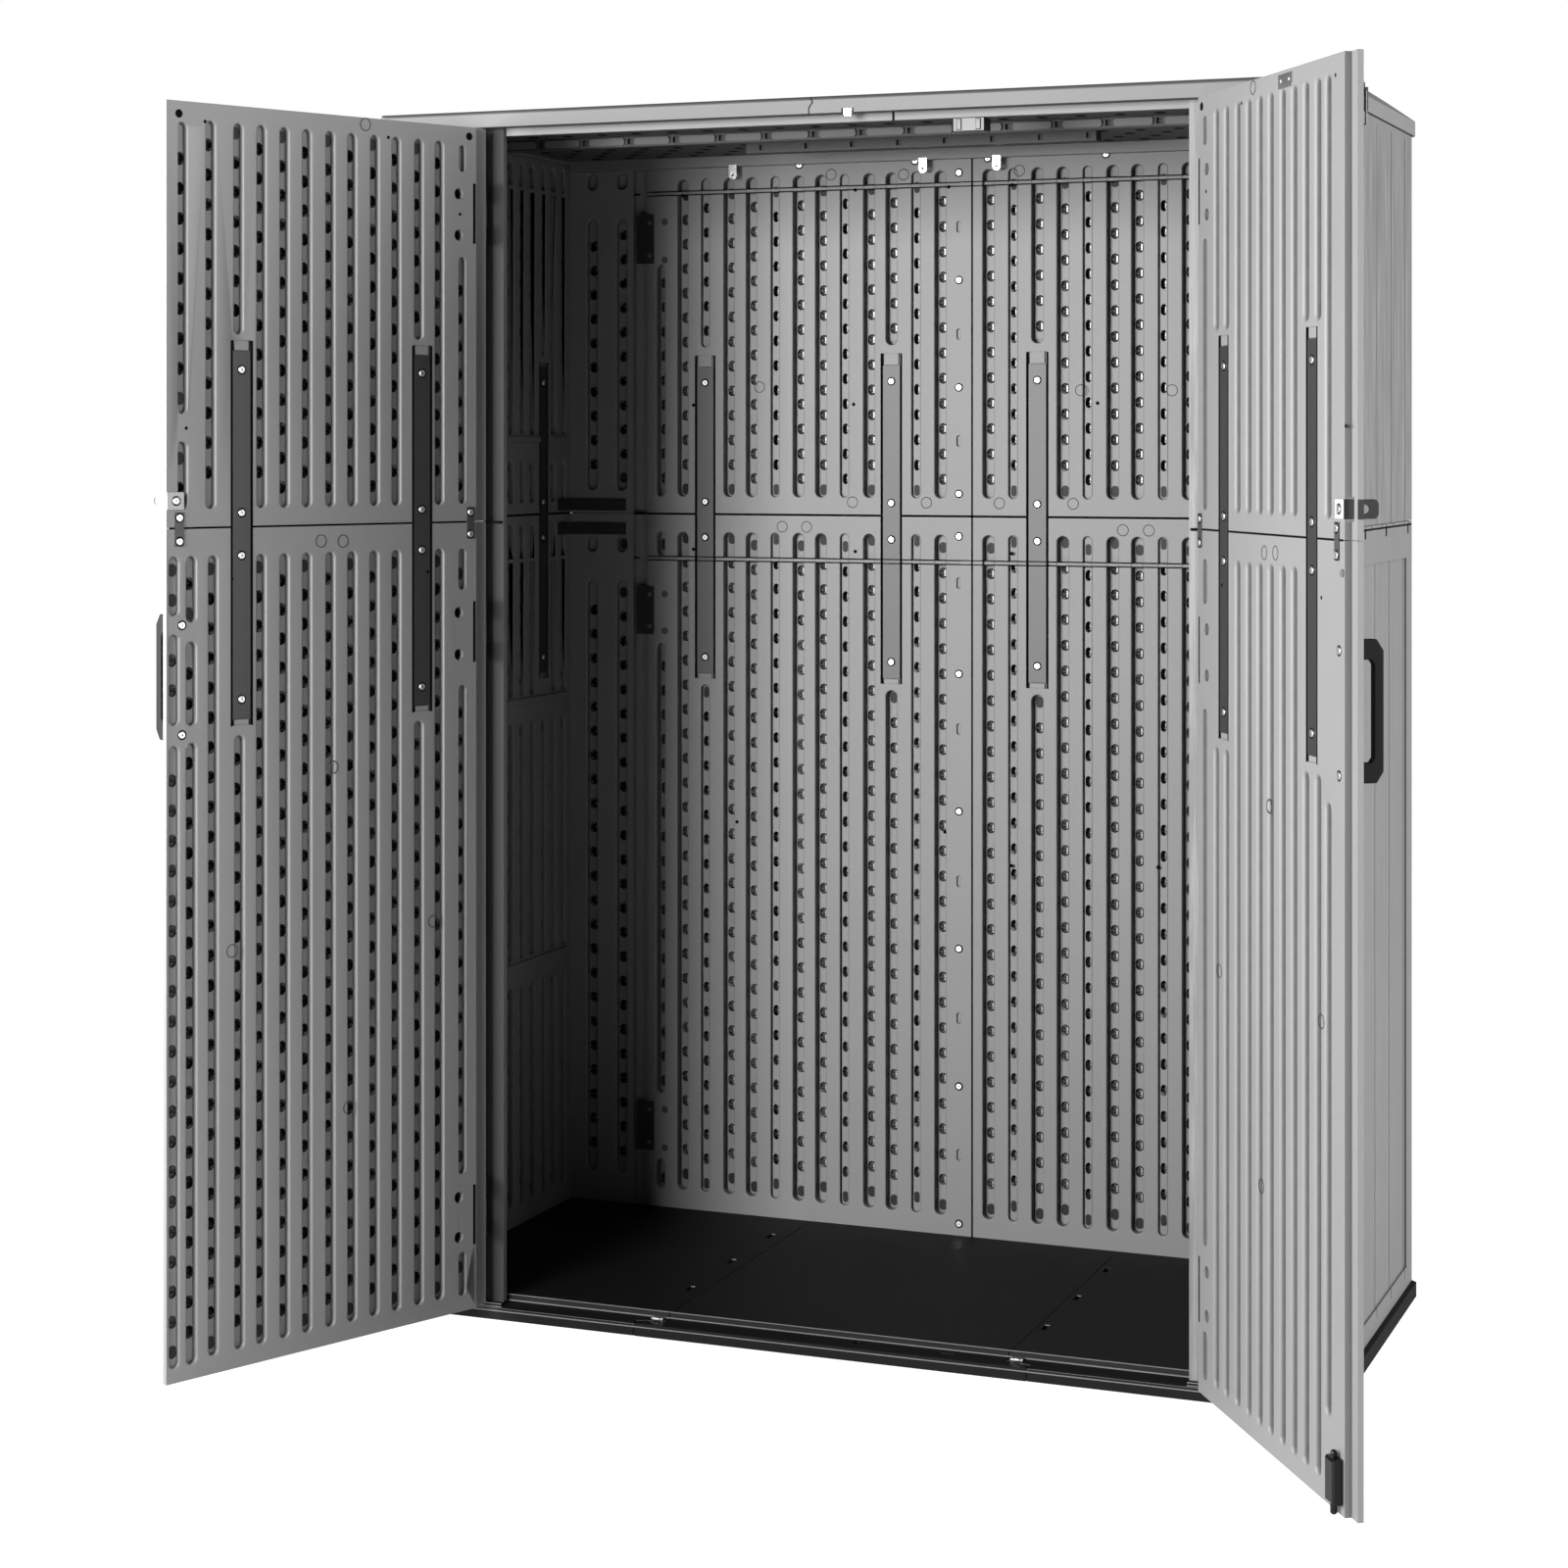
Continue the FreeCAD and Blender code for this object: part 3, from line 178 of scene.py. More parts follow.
def settings(name):
    return getattr(bpy.context.scene, "cabinet_" + name)


# Materials

def linear(code):
    """A colour from sRGB hex to linear values"""
    values = [int(code[i:i + 2], 16) / 255.0 for i in (0, 2, 4)]
    return [v / 12.92 if v <= 0.04045 else ((v + 0.055) / 1.055) ** 2.4 for v in values] + [1.0]


def shade(code, factor):
    return [v * factor for v in linear(code)[:3]] + [1.0]


def add(tree, kind, links=None, inputs=None, **values):
    """Adds one node, sets its own values and inputs, and links its inputs to other nodes' outputs"""
    made = tree.nodes.new(kind)
    for key, value in values.items():
        setattr(made, key, value)
    for key, value in (inputs or {}).items():
        made.inputs[key].default_value = value
    for key, source in (links or {}).items():
        tree.links.new(source, made.inputs[key])
    return made


def new_material(name):
    material = bpy.data.materials.new(name)
    material.use_nodes = True
    tree = material.node_tree
    tree.nodes.clear()
    output = tree.nodes.new("ShaderNodeOutputMaterial")
    return material, tree, output


def moulded(name, colour, rough, grain=None, texture=0.12, tone=0.05, bold=1.0, gloss=0.5):
    """Blow-moulded polyethylene: matt, even grey, fine texture from the mould, faint clouding, and painted shade
    that darkens creases
    """
    material, tree, output = new_material(name)
    place = add(tree, "ShaderNodeTexCoord").outputs["Object"]
    cloud = add(tree, "ShaderNodeTexNoise", {"Vector": place}, {"Scale": 7.0, "Detail": 3.0})
    tint = add(tree, "ShaderNodeMix", {"Factor": cloud.outputs["Fac"]}, data_type="RGBA")
    tint.inputs["A"].default_value = shade(colour, 1.0 - tone)
    tint.inputs["B"].default_value = shade(colour, 1.0 + tone)
    # painted shade: ambient occlusion darkens the base colour in creases and next to walls
    crease = add(tree, "ShaderNodeAmbientOcclusion", inputs={"Distance": 4.0 * MM}, samples=4, only_local=True)
    crease_shade = add(tree, "ShaderNodeMapRange", {"Value": crease.outputs["AO"]},
               {"From Min": 0.35, "From Max": 0.9, "To Min": 0.38, "To Max": 1.0})
    base = add(tree, "ShaderNodeVectorMath", {0: tint.outputs["Result"], "Scale": crease_shade.outputs["Result"]},
               operation="SCALE").outputs["Vector"]
    fine = add(tree, "ShaderNodeTexNoise", {"Vector": place},
               {"Scale": 1.0 / settings("finish").texture, "Detail": 2.0})
    height = fine.outputs["Fac"]
    depth = texture
    if grain:
        # wood-like streaks pressed by the mould, a few millimetres wide and about 0.2 m long
        stretch = add(tree, "ShaderNodeMapping", {"Vector": place}, {"Scale": grain})
        streak = add(tree, "ShaderNodeTexNoise", {"Vector": stretch.outputs["Vector"]},
                     {"Scale": 1.0, "Detail": 4.0, "Roughness": 0.6, "Distortion": 0.35})
        level = add(tree, "ShaderNodeMapRange", {"Value": streak.outputs["Fac"]},
                    {"From Min": 0.38, "From Max": 0.62})
        both = add(tree, "ShaderNodeMath", {0: level.outputs["Result"], 1: height}, operation="ADD")
        height = both.outputs["Value"]
        depth = 0.6 * bold
        lit = add(tree, "ShaderNodeMapRange", {"Value": level.outputs["Result"]},
                  {"To Min": 1.0 - 0.24 * bold, "To Max": 1.0 + 0.16 * bold})
        dark = add(tree, "ShaderNodeVectorMath", {0: base, "Scale": lit.outputs["Result"]}, operation="SCALE")
        base = dark.outputs["Vector"]
    bump = add(tree, "ShaderNodeBump", {"Height": height}, {"Strength": depth, "Distance": 0.4 * MM})
    shader = add(tree, "ShaderNodeBsdfPrincipled", {"Base Color": base, "Normal": bump.outputs["Normal"]},
                 {"Roughness": rough, "IOR": 1.51, "Specular IOR Level": gloss})
    tree.links.new(shader.outputs["BSDF"], output.inputs["Surface"])
    return material


def metal(name, colour, rough):
    """Plated steel: bright, with faint unevenness in the plating"""
    material, tree, output = new_material(name)
    place = add(tree, "ShaderNodeTexCoord").outputs["Object"]
    spot = add(tree, "ShaderNodeTexNoise", {"Vector": place}, {"Scale": 260.0, "Detail": 3.0})
    gloss = add(tree, "ShaderNodeMapRange", {"Value": spot.outputs["Fac"]},
                {"To Min": rough, "To Max": rough + 0.15})
    shader = add(tree, "ShaderNodeBsdfPrincipled", {"Roughness": gloss.outputs["Result"]},
                 {"Base Color": linear(colour), "Metallic": 1.0})
    tree.links.new(shader.outputs["BSDF"], output.inputs["Surface"])
    return material


def coated(name, colour, rough, sheen=0.0, gloss=0.5):
    """Powder coat on steel: dark, low sheen, slight orange peel; sheen is its share of metal flake"""
    material, tree, output = new_material(name)
    place = add(tree, "ShaderNodeTexCoord").outputs["Object"]
    peel = add(tree, "ShaderNodeTexNoise", {"Vector": place}, {"Scale": 700.0, "Detail": 2.0})
    bump = add(tree, "ShaderNodeBump", {"Height": peel.outputs["Fac"]}, {"Strength": 0.08, "Distance": 0.2 * MM})
    shader = add(tree, "ShaderNodeBsdfPrincipled", {"Normal": bump.outputs["Normal"]},
                 {"Base Color": linear(colour), "Roughness": rough, "IOR": 1.5, "Metallic": sheen,
                  "Specular IOR Level": gloss})
    tree.links.new(shader.outputs["BSDF"], output.inputs["Surface"])
    return material


FINISHES = {}
# maker, colour or the setting that holds it, roughness, and where it differs from the maker's defaults
LOOKS = {
    "hdpe_inside": (moulded, "panel", 0.55, {}),
    "hdpe_wood_grain": (moulded, "panel", 0.55, {"grain": (130.0, 130.0, 5.0), "bold": 1.2}),
    "hdpe_fine_grain": (moulded, "panel", 0.55, {"grain": (260.0, 260.0, 4.0), "bold": 0.35}),
    # painted shade: pocket floors and dimples
    "painted_pocket_shade": (moulded, "2c2c2c", 0.7, {"tone": 0.1}),
    # painted highlight: the pale slat in a pocket
    "painted_pocket_highlight": (moulded, "8c8c8c", 0.3, {"texture": 0.02}),
    # painted shadow: the left front post's face
    "hdpe_rebate": (moulded, "1c1c1c", 0.7, {"gloss": 0.2}),
    # painted shade: the roof's front faces
    "hdpe_fascia": (moulded, "505050", 0.55, {}),
    "hdpe_roof": (moulded, "roof", 0.55, {}),
    "hdpe_trim": (moulded, "5a5a5a", 0.55, {}),
    "hdpe_ceiling": (moulded, "343332", 0.6, {}),
    "hdpe_base": (moulded, "floor", 0.6, {"texture": 0.3, "tone": 0.12, "gloss": 0.12}),
    # painted highlight: lines along the base's edges
    "painted_edge_highlight": (moulded, "5a5a5a", 0.4, {"tone": 0.1}),
    # painted shade: small pockets, fine grooves and raised circles
    "painted_deep_shade": (moulded, "161616", 0.55, {"gloss": 0.2}),
    "satin_black_plastic": (moulded, "101010", 0.4, {"texture": 0.05}),
    "handle_black_plastic": (moulded, "040404", 0.6, {"texture": 0.05, "gloss": 0.12}),
    "bolt_black_plastic": (moulded, "030303", 0.35, {"texture": 0.03, "gloss": 0.3}),
    "plug_grey_plastic": (moulded, "4a4a4a", 0.5, {}),
    "powder_coated_bar": (coated, "bar", 0.38, {"sheen": 0.35}),
    "powder_coated_back_bar": (coated, "383838", 0.5, {}),
    "powder_coated_hinge": (coated, "202020", 0.4, {"sheen": 0.1}),
    "plate_black": (coated, "2a2a2a", 0.5, {}),
    # painted shade: the right hasp's strap in front of the door
    "hasp_steel": (coated, "141414", 0.5, {"gloss": 0.3}),
    "hasp_zinc": (coated, "8a8a8a", 0.6, {}),
    "plain_steel": (coated, "5c5c5c", 0.42, {"sheen": 0.5}),
    "shadow_black": (coated, "000000", 0.9, {"gloss": 0.08}),
    "zinc_plate": (metal, "zinc", 0.32, {}),
    "bright_plate": (metal, "chrome", 0.16, {}),
}


def finish(name):
    """The material of that name, made when first asked for"""
    if name not in FINISHES:
        maker, colour, rough, extra = LOOKS[name]
        FINISHES[name] = maker(name, getattr(settings("finish"), colour, colour), rough, **extra)
    return FINISHES[name]


FINISH_OF_SLOT = {
    "base_plastic": "hdpe_base", "panel_plastic": "hdpe_inside", "roof_plastic": "hdpe_roof",
    "trim_plastic": "hdpe_trim", "dark_plastic": "hdpe_ceiling", "black_plastic": "satin_black_plastic",
    "grey_plastic": "plug_grey_plastic", "coated_steel": "powder_coated_bar",
    "hinge_steel": "powder_coated_hinge", "bright_metal": "bright_plate", "zinc": "zinc_plate",
}


# Pieces

def piece(name, mesh, body, slot, *nodes):
    """Puts a finished mesh in the scene on its body, in place of the CAD nodes it stands for"""
    made = bpy.data.objects.new(name, mesh)
    bpy.context.scene.collection.objects.link(made)
    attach(made, body)
    if nodes:
        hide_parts(*nodes)
    return made


def weld(work):
    """Merges a mesh's triangles into flat faces"""
    bmesh.ops.remove_doubles(work, verts=work.verts, dist=WELD)
    bmesh.ops.dissolve_limit(work, angle_limit=math.radians(0.8), verts=work.verts, edges=work.edges)


def made_mesh(name, work):
    """Turns a bmesh into a mesh and frees it"""
    mesh = bpy.data.meshes.new(name)
    work.to_mesh(mesh)
    work.free()
    return mesh


def welded(node):
    """A copy of a CAD node's mesh with its triangles merged into flat faces"""
    work = bmesh.new()
    work.from_mesh(frame["nodes"][node].data)
    weld(work)
    return work


def evaluated(mesh, change):
    """Runs modifiers on a mesh and gives back the plain result"""
    holder = bpy.data.objects.new("holder", mesh)
    bpy.context.scene.collection.objects.link(holder)
    change(holder)
    bpy.context.view_layer.update()
    result = bpy.data.meshes.new_from_object(holder.evaluated_get(bpy.context.evaluated_depsgraph_get()))
    holder.modifiers.clear()
    bpy.data.objects.remove(holder)
    return result


def even_shading(mesh):
    """Lets large flat faces set the normals, so that only the rounded edges shade softly"""
    for face in mesh.polygons:
        face.use_smooth = True
    mesh.set_sharp_from_angle(angle=math.radians(28.0))

    def change(holder):
        weigh = holder.modifiers.new("weigh", "WEIGHTED_NORMAL")
        weigh.keep_sharp = True
        weigh.weight = 80
    return evaluated(mesh, change)


def rounded(mesh, width):
    """Rounds the sharp edges of a mesh, as a mould or a press leaves them"""
    def change(holder):
        edge = holder.modifiers.new("rounding", "BEVEL")
        edge.width = width
        edge.segments = 2
        edge.limit_method = "ANGLE"
        edge.angle_limit = math.radians(35.0)
        edge.use_clamp_overlap = True
    return evaluated(mesh, change) if width else mesh


def dress(node, width, pick=None):
    """Rounds a CAD node's edges and gives it its finish; pick chooses a finish for each face"""
    work = welded(node)
    slot = SLOT_OF[node]
    names = [FINISH_OF_SLOT[slot]]
    for face in work.faces:
        chosen = pick(face) if pick else None
        if chosen:
            if chosen not in names:
                names.append(chosen)
            face.material_index = names.index(chosen)
    mesh = made_mesh("shaped_" + node, work)
    for name in names:
        mesh.materials.append(finish(name))
    mesh = even_shading(rounded(mesh, width))
    return piece("shaped_" + node, mesh, BODY_OF[node], slot, node)


def plane_frame(origin, out):
    """World to local: local Z comes out of the panel towards the viewer, local Y is up"""
    out = Vector(out).normalized()
    up = Vector((0, 0, 1))
    across = up.cross(out)
    turn = Matrix((across, up, out)).to_4x4()
    return turn @ Matrix.Translation(-Vector(origin))


def door_turn(side):
    """Turns a closed door's coordinates into the photo's pose"""
    pin = Vector((SIGN[side] * PIN_X, PIN_Y, 0))
    return Matrix.Translation(pin) @ Matrix.Rotation(DOOR_OPEN[side], 4, "Z") @ Matrix.Translation(-pin)


def door_frame(side):
    turn = Matrix.Rotation(DOOR_OPEN[side], 4, "Z")
    start = Vector((SIGN[side] * PIN_X, PIN_Y, 0)) + turn @ Vector((0, DOOR_INSIDE - PIN_Y, 0))
    return plane_frame(Vector((start.x, start.y, 0)), turn @ Vector((0, 1, 0)))


def door_x(side, s):
    """X on a closed door at s from its hinge edge, in mm"""
    return SIGN[side] * (PIN_X / MM - DOOR_EDGE - s)


def islands(faces):
    """Groups of faces that hang together by their edges"""
    left = set(faces)
    found = []
    while left:
        stack = [left.pop()]
        island = []
        while stack:
            face = stack.pop()
            island.append(face)
            for edge in face.edges:
                for other in edge.link_faces:
                    if other in left:
                        left.discard(other)
                        stack.append(other)
        found.append(island)
    return found


def groove_floors(work):
    """The grooves of a panel in its local frame: the face islands that lie below the inner face"""
    floors = [f for f in work.faces if f.normal.z > 0.99 and -15.8 * MM < f.calc_center_median().z < -3.5 * MM]
    heights = [v.co.y for v in work.verts]
    bottom, top = min(heights), max(heights)
    found = []
    for island in islands(floors):
        verts = {v for f in island for v in f.verts}
        xs = [v.co.x for v in verts]
        ys = [v.co.y for v in verts]
        wide, tall = max(xs) - min(xs), max(ys) - min(ys)
        inside = min(ys) > bottom + 12 * MM and max(ys) < top - 2 * MM
        if 10 * MM < wide < 21 * MM and tall > 24 * MM and inside:
            depth = -sum(v.co.z for v in verts) / len(verts)
            found.append({"x": (max(xs) + min(xs)) / 2, "low": min(ys), "high": max(ys), "wide": wide,
                          "depth": depth, "verts": verts})
    found.sort(key=lambda g: (round(g["x"] / (8 * MM)), g["low"]))
    return found


def stadium(work, x, low, high, wide, deep, out):
    """A block with round ends in a panel's local frame, from deep below the face to out above it; mm"""
    r = wide / 2
    arc = [math.pi * k / 10 for k in range(11)]
    edge = [(x + r * math.cos(a), high - r + r * math.sin(a)) for a in arc]
    edge += [(x - r * math.cos(a), low + r - r * math.sin(a)) for a in arc]
    rings = [[work.verts.new((a * MM, b * MM, z * MM)) for a, b in edge] for z in (-deep, out)]
    work.faces.new(rings[0][::-1])
    work.faces.new(rings[1])
    for i in range(len(edge)):
        j = (i + 1) % len(edge)
        work.faces.new((rings[0][i], rings[0][j], rings[1][j], rings[1][i]))


def recut(work, fills, cuts):
    """Closes grooves and cuts others: each is x, low, high, width and depth in mm in the local frame"""
    mesh = bpy.data.meshes.new("recut")
    work.to_mesh(mesh)
    for blocks, out, way in ((fills, 0.0, "UNION"), (cuts, 2.0, "DIFFERENCE")):
        if not blocks:
            continue
        solid = bmesh.new()
        for x, low, high, wide, deep in blocks:
            stadium(solid, x, low, high, wide, deep, out)
        tool = bpy.data.objects.new("blocks", made_mesh("blocks", solid))
        bpy.context.scene.collection.objects.link(tool)

        def change(holder):
            step = holder.modifiers.new("recut", "BOOLEAN")
            step.operation = way
            step.solver = "EXACT"
            step.object = tool
        mesh = evaluated(mesh, change)
        bpy.data.objects.remove(tool)
    work.clear()
    work.from_mesh(mesh)
    weld(work)


def soften_rims(work, grooves, lip):
    """Rounds the upper edges of the grooves over, as the blown wall does"""
    rims = set()
    for groove in grooves:
        tops = {edge.other_vert(vert) for vert in groove["verts"] for edge in vert.link_edges}
        tops = {vert for vert in tops - groove["verts"] if vert.co.z > -0.6 * MM}
        rims.update(edge for vert in tops for edge in vert.link_edges if edge.other_vert(vert) in tops
                    and any(face.normal.z > 0.99 for face in edge.link_faces)
                    and any(abs(face.normal.z) < 0.5 for face in edge.link_faces))
    edges = [edge for edge in work.edges if len(edge.link_faces) == 2
             and all(vert.co.z > -0.6 * MM for vert in edge.verts)
             and abs(edge.verts[0].co.x - edge.verts[1].co.x) < 0.1 * MM
             and any(face.normal.z > 0.99 for face in edge.link_faces)
             and any(abs(face.normal.z) < 0.5 for face in edge.link_faces)]
    for groove in grooves:
        rims.update(edge for edge in edges
                    if abs(abs(edge.verts[0].co.x - groove["x"]) - groove["wide"] / 2) < 2.5 * MM
                    and all(groove["low"] < vert.co.y < groove["high"] for vert in edge.verts))
    bmesh.ops.bevel(work, geom=list(rims), offset=lip, offset_type="OFFSET", segments=3, profile=0.5,
                    affect="EDGES", clamp_overlap=False, loop_slide=False)


def new_tree(name, lengths, finishes):
    """A Geometry Nodes tree with named lengths in metres and named finishes as its inputs"""
    tree = bpy.data.node_groups.new(name, "GeometryNodeTree")
    face = tree.interface
    face.new_socket("Geometry", in_out="INPUT", socket_type="NodeSocketGeometry")
    for label, value in lengths:
        socket = face.new_socket(label, in_out="INPUT", socket_type="NodeSocketFloat")
        socket.default_value = value
        socket.subtype = "DISTANCE"
    for label in finishes:
        face.new_socket(label, in_out="INPUT", socket_type="NodeSocketMaterial")
    face.new_socket("Geometry", in_out="OUTPUT", socket_type="NodeSocketGeometry")
    return tree, add(tree, "NodeGroupInput").outputs


def joined(tree, *parts):
    """Joins geometry outputs of a tree into one"""
    made = add(tree, "GeometryNodeJoinGeometry")
    for part in parts:
        tree.links.new(part, made.inputs["Geometry"])
    return made.outputs["Geometry"]


def scattered(tree, points, tile):
    """Sets a tile on every point, turned so that its Z follows the point's way, and makes it real"""
    way = add(tree, "GeometryNodeInputNamedAttribute", inputs={"Name": "way"}, data_type="FLOAT_VECTOR")
    turn = add(tree, "FunctionNodeAlignRotationToVector", {"Vector": way.outputs["Attribute"]}, axis="Z")
    size = add(tree, "GeometryNodeInputNamedAttribute", inputs={"Name": "size"}, data_type="FLOAT_VECTOR")
    placed = add(tree, "GeometryNodeInstanceOnPoints", {"Points": points, "Instance": tile,
                                                        "Rotation": turn.outputs["Rotation"],
                                                        "Scale": size.outputs["Attribute"]})
    real = add(tree, "GeometryNodeRealizeInstances", {"Geometry": placed.outputs["Instances"]})
    add(tree, "NodeGroupOutput", {"Geometry": real.outputs["Geometry"]})
    return tree


def disc(tree, material, radius, thick, lift, sides=20, top=None):
    """A flat round piece on Z, standing from lift to lift + thick; top narrows its upper face"""
    cone = add(tree, "GeometryNodeMeshCone", {"Radius Bottom": radius, "Radius Top": top or radius},
               {"Vertices": sides, "Depth": thick})
    up = add(tree, "GeometryNodeTransform", {"Geometry": cone.outputs["Mesh"]}, {"Translation": (0, 0, lift)})
    return add(tree, "GeometryNodeSetMaterial", {"Geometry": up.outputs["Geometry"],
                                                 "Material": material}).outputs["Geometry"]


def screw_tree():
    """Geometry Nodes: a screw on every point: plated head, with seat and recess painted dark as shade"""
    tree, source = new_tree("screw_heads", (("Head", SCREW_HEAD), ("Seat", SCREW_SEAT)),
                            ("Head Finish", "Seat Finish"))
    rim = add(tree, "ShaderNodeMath", {0: source["Head"]}, {1: 0.85}, operation="MULTIPLY").outputs["Value"]
    bore = add(tree, "ShaderNodeMath", {0: source["Head"]}, {1: 0.24}, operation="MULTIPLY").outputs["Value"]
    seat = disc(tree, source["Seat Finish"], source["Seat"], 0.3 * MM, 0.02 * MM)
    dome = disc(tree, source["Head Finish"], source["Head"], 1.2 * MM, 0.1 * MM, top=rim)
    recess = disc(tree, source["Seat Finish"], bore, 0.12 * MM, 1.25 * MM, 6)
    return scattered(tree, source["Geometry"], joined(tree, seat, dome, recess))


def dot_tree():
    """Geometry Nodes: a flat disc on every point, painted dark as the shade in pilot holes and dimples"""
    tree, source = new_tree("dots", (("Radius", 1.5 * MM),), ("Finish",))
    spot = disc(tree, source["Finish"], source["Radius"], 0.12 * MM, 0.02 * MM, 14)
    return scattered(tree, source["Geometry"], spot)


def ring_tree():
    """Geometry Nodes: a fine raised circle on every point, as an ejector leaves it"""
    tree, source = new_tree("rings", (("Radius", 9.0 * MM), ("Line", 0.6 * MM)), ("Finish",))
    path = add(tree, "GeometryNodeCurvePrimitiveCircle", {"Radius": source["Radius"]}, {"Resolution": 28})
    line = add(tree, "GeometryNodeCurvePrimitiveCircle", {"Radius": source["Line"]}, {"Resolution": 6})
    ring = add(tree, "GeometryNodeCurveToMesh", {"Curve": path.outputs["Curve"],
                                                 "Profile Curve": line.outputs["Curve"]})
    dark = add(tree, "GeometryNodeSetMaterial", {"Geometry": ring.outputs["Mesh"], "Material": source["Finish"]})
    return scattered(tree, source["Geometry"], dark.outputs["Geometry"])


def pad_tree():
    """Geometry Nodes: a rounded bar across Z on every point, for the ceiling's raised pads"""
    tree, source = new_tree("pads", (("Long", 60 * MM), ("Tall", 11 * MM), ("Thick", 3 * MM)), ("Finish",))
    plate = add(tree, "GeometryNodeCurvePrimitiveQuadrilateral",
                {"Width": source["Long"], "Height": source["Tall"]})
    corner = add(tree, "ShaderNodeMath", {0: source["Tall"]}, {1: 0.35}, operation="MULTIPLY")
    soft = add(tree, "GeometryNodeFilletCurve", {"Curve": plate.outputs["Curve"],
                                                 "Radius": corner.outputs["Value"]},
               {"Count": 3}, mode="POLY")
    face = add(tree, "GeometryNodeFillCurve", {"Curve": soft.outputs["Curve"]})
    out = add(tree, "ShaderNodeCombineXYZ", {"Z": source["Thick"]})
    body = add(tree, "GeometryNodeExtrudeMesh", {"Mesh": face.outputs["Mesh"], "Offset": out.outputs["Vector"]},
               {"Offset Scale": 1.0}, mode="FACES")
    pale = add(tree, "GeometryNodeSetMaterial", {"Geometry": body.outputs["Mesh"], "Material": source["Finish"]})
    return scattered(tree, source["Geometry"], pale.outputs["Geometry"])


def pocket_tree():
    """Geometry Nodes: a strip tile with an oval pocket in painted shade, set on every point and made real"""
    tree, source = new_tree("pocket_tiles", (("Tile Width", 16 * MM), ("Pitch", 41.75 * MM),
                                             ("Pocket Width", 11 * MM), ("Pocket Height", 18.5 * MM),
                                             ("Slope", 3 * MM), ("Tab Width", 2.6 * MM)),
                            ("Strip Finish", "Pocket Finish", "Tab Finish"))
    plate = add(tree, "GeometryNodeCurvePrimitiveQuadrilateral",
                {"Width": source["Tile Width"], "Height": source["Pitch"]})
    oval = add(tree, "GeometryNodeCurvePrimitiveQuadrilateral",
               {"Width": source["Pocket Width"], "Height": source["Pocket Height"]})
    half = add(tree, "ShaderNodeMath", {0: source["Pocket Width"]}, {1: 0.49}, operation="MULTIPLY")
    oval_round = add(tree, "GeometryNodeFilletCurve", {"Curve": oval.outputs["Curve"],
                                                       "Radius": half.outputs["Value"]},
                     {"Count": 3}, mode="POLY")
    outline = joined(tree, plate.outputs["Curve"], oval_round.outputs["Curve"])
    strip = add(tree, "GeometryNodeFillCurve", {"Curve": outline})
    hole = add(tree, "GeometryNodeFillCurve", {"Curve": oval_round.outputs["Curve"]})
    deep = add(tree, "ShaderNodeCombineXYZ", inputs={"Z": -1.0})
    sunk = add(tree, "GeometryNodeExtrudeMesh", {"Mesh": hole.outputs["Mesh"], "Offset": deep.outputs["Vector"]},
               {"Offset Scale": 1.0}, mode="FACES")
    # the pocket's floor is smaller than its mouth and lies to one side
    spot = add(tree, "GeometryNodeInputPosition")
    part = add(tree, "ShaderNodeSeparateXYZ", {"Vector": spot.outputs["Position"]})
    lean = add(tree, "ShaderNodeMath", {0: source["Slope"], 1: source["Pocket Width"]}, operation="DIVIDE")
    keep = add(tree, "ShaderNodeMath", {1: lean.outputs["Value"]}, {0: 1.0}, operation="SUBTRACT")
    lead = add(tree, "ShaderNodeMath", {0: source["Slope"]}, {1: -0.5}, operation="MULTIPLY")
    across = add(tree, "ShaderNodeMath", {0: part.outputs["X"], 1: keep.outputs["Value"],
                                          2: lead.outputs["Value"]}, operation="MULTIPLY_ADD")
    tall = add(tree, "ShaderNodeMath", {0: part.outputs["Y"]}, {1: 0.86}, operation="MULTIPLY")
    moved = add(tree, "ShaderNodeCombineXYZ", {"X": across.outputs["Value"], "Y": tall.outputs["Value"],
                                               "Z": part.outputs["Z"]})
    cup = add(tree, "GeometryNodeSetPosition", {"Geometry": sunk.outputs["Mesh"],
                                                "Selection": sunk.outputs["Top"],
                                                "Position": moved.outputs["Vector"]})
    # painted shade: the pocket's floor takes the dark pocket finish
    dark = add(tree, "GeometryNodeSetMaterial", {"Geometry": cup.outputs["Geometry"],
                                                 "Material": source["Pocket Finish"],
                                                 "Selection": sunk.outputs["Top"]})
    light = add(tree, "GeometryNodeSetMaterial", {"Geometry": dark.outputs["Geometry"],
                                                  "Material": source["Strip Finish"],
                                                  "Selection": sunk.outputs["Side"]})
    plain = add(tree, "GeometryNodeSetMaterial", {"Geometry": strip.outputs["Mesh"],
                                                  "Material": source["Strip Finish"]})
    # painted highlight: a pale slat on the web inside the pocket, for its lit side
    long = add(tree, "ShaderNodeMath", {0: source["Pocket Height"]}, {1: 0.55}, operation="MULTIPLY")
    slat = add(tree, "GeometryNodeMeshGrid", {"Size X": source["Tab Width"], "Size Y": long.outputs["Value"]},
               {"Vertices X": 2, "Vertices Y": 2})
    off = add(tree, "ShaderNodeMath", {0: source["Pocket Width"]}, {1: 0.24}, operation="MULTIPLY")
    aside = add(tree, "ShaderNodeCombineXYZ", {"X": off.outputs["Value"]}, {"Z": -0.3})
    slat = add(tree, "GeometryNodeTransform", {"Geometry": slat.outputs["Mesh"],
                                               "Translation": aside.outputs["Vector"]})
    tab = add(tree, "GeometryNodeSetMaterial", {"Geometry": slat.outputs["Geometry"],
                                                "Material": source["Tab Finish"]})
    return scattered(tree, source["Geometry"], joined(tree, light.outputs["Geometry"], plain.outputs["Geometry"],
                                                      tab.outputs["Geometry"]))


TREES = {}


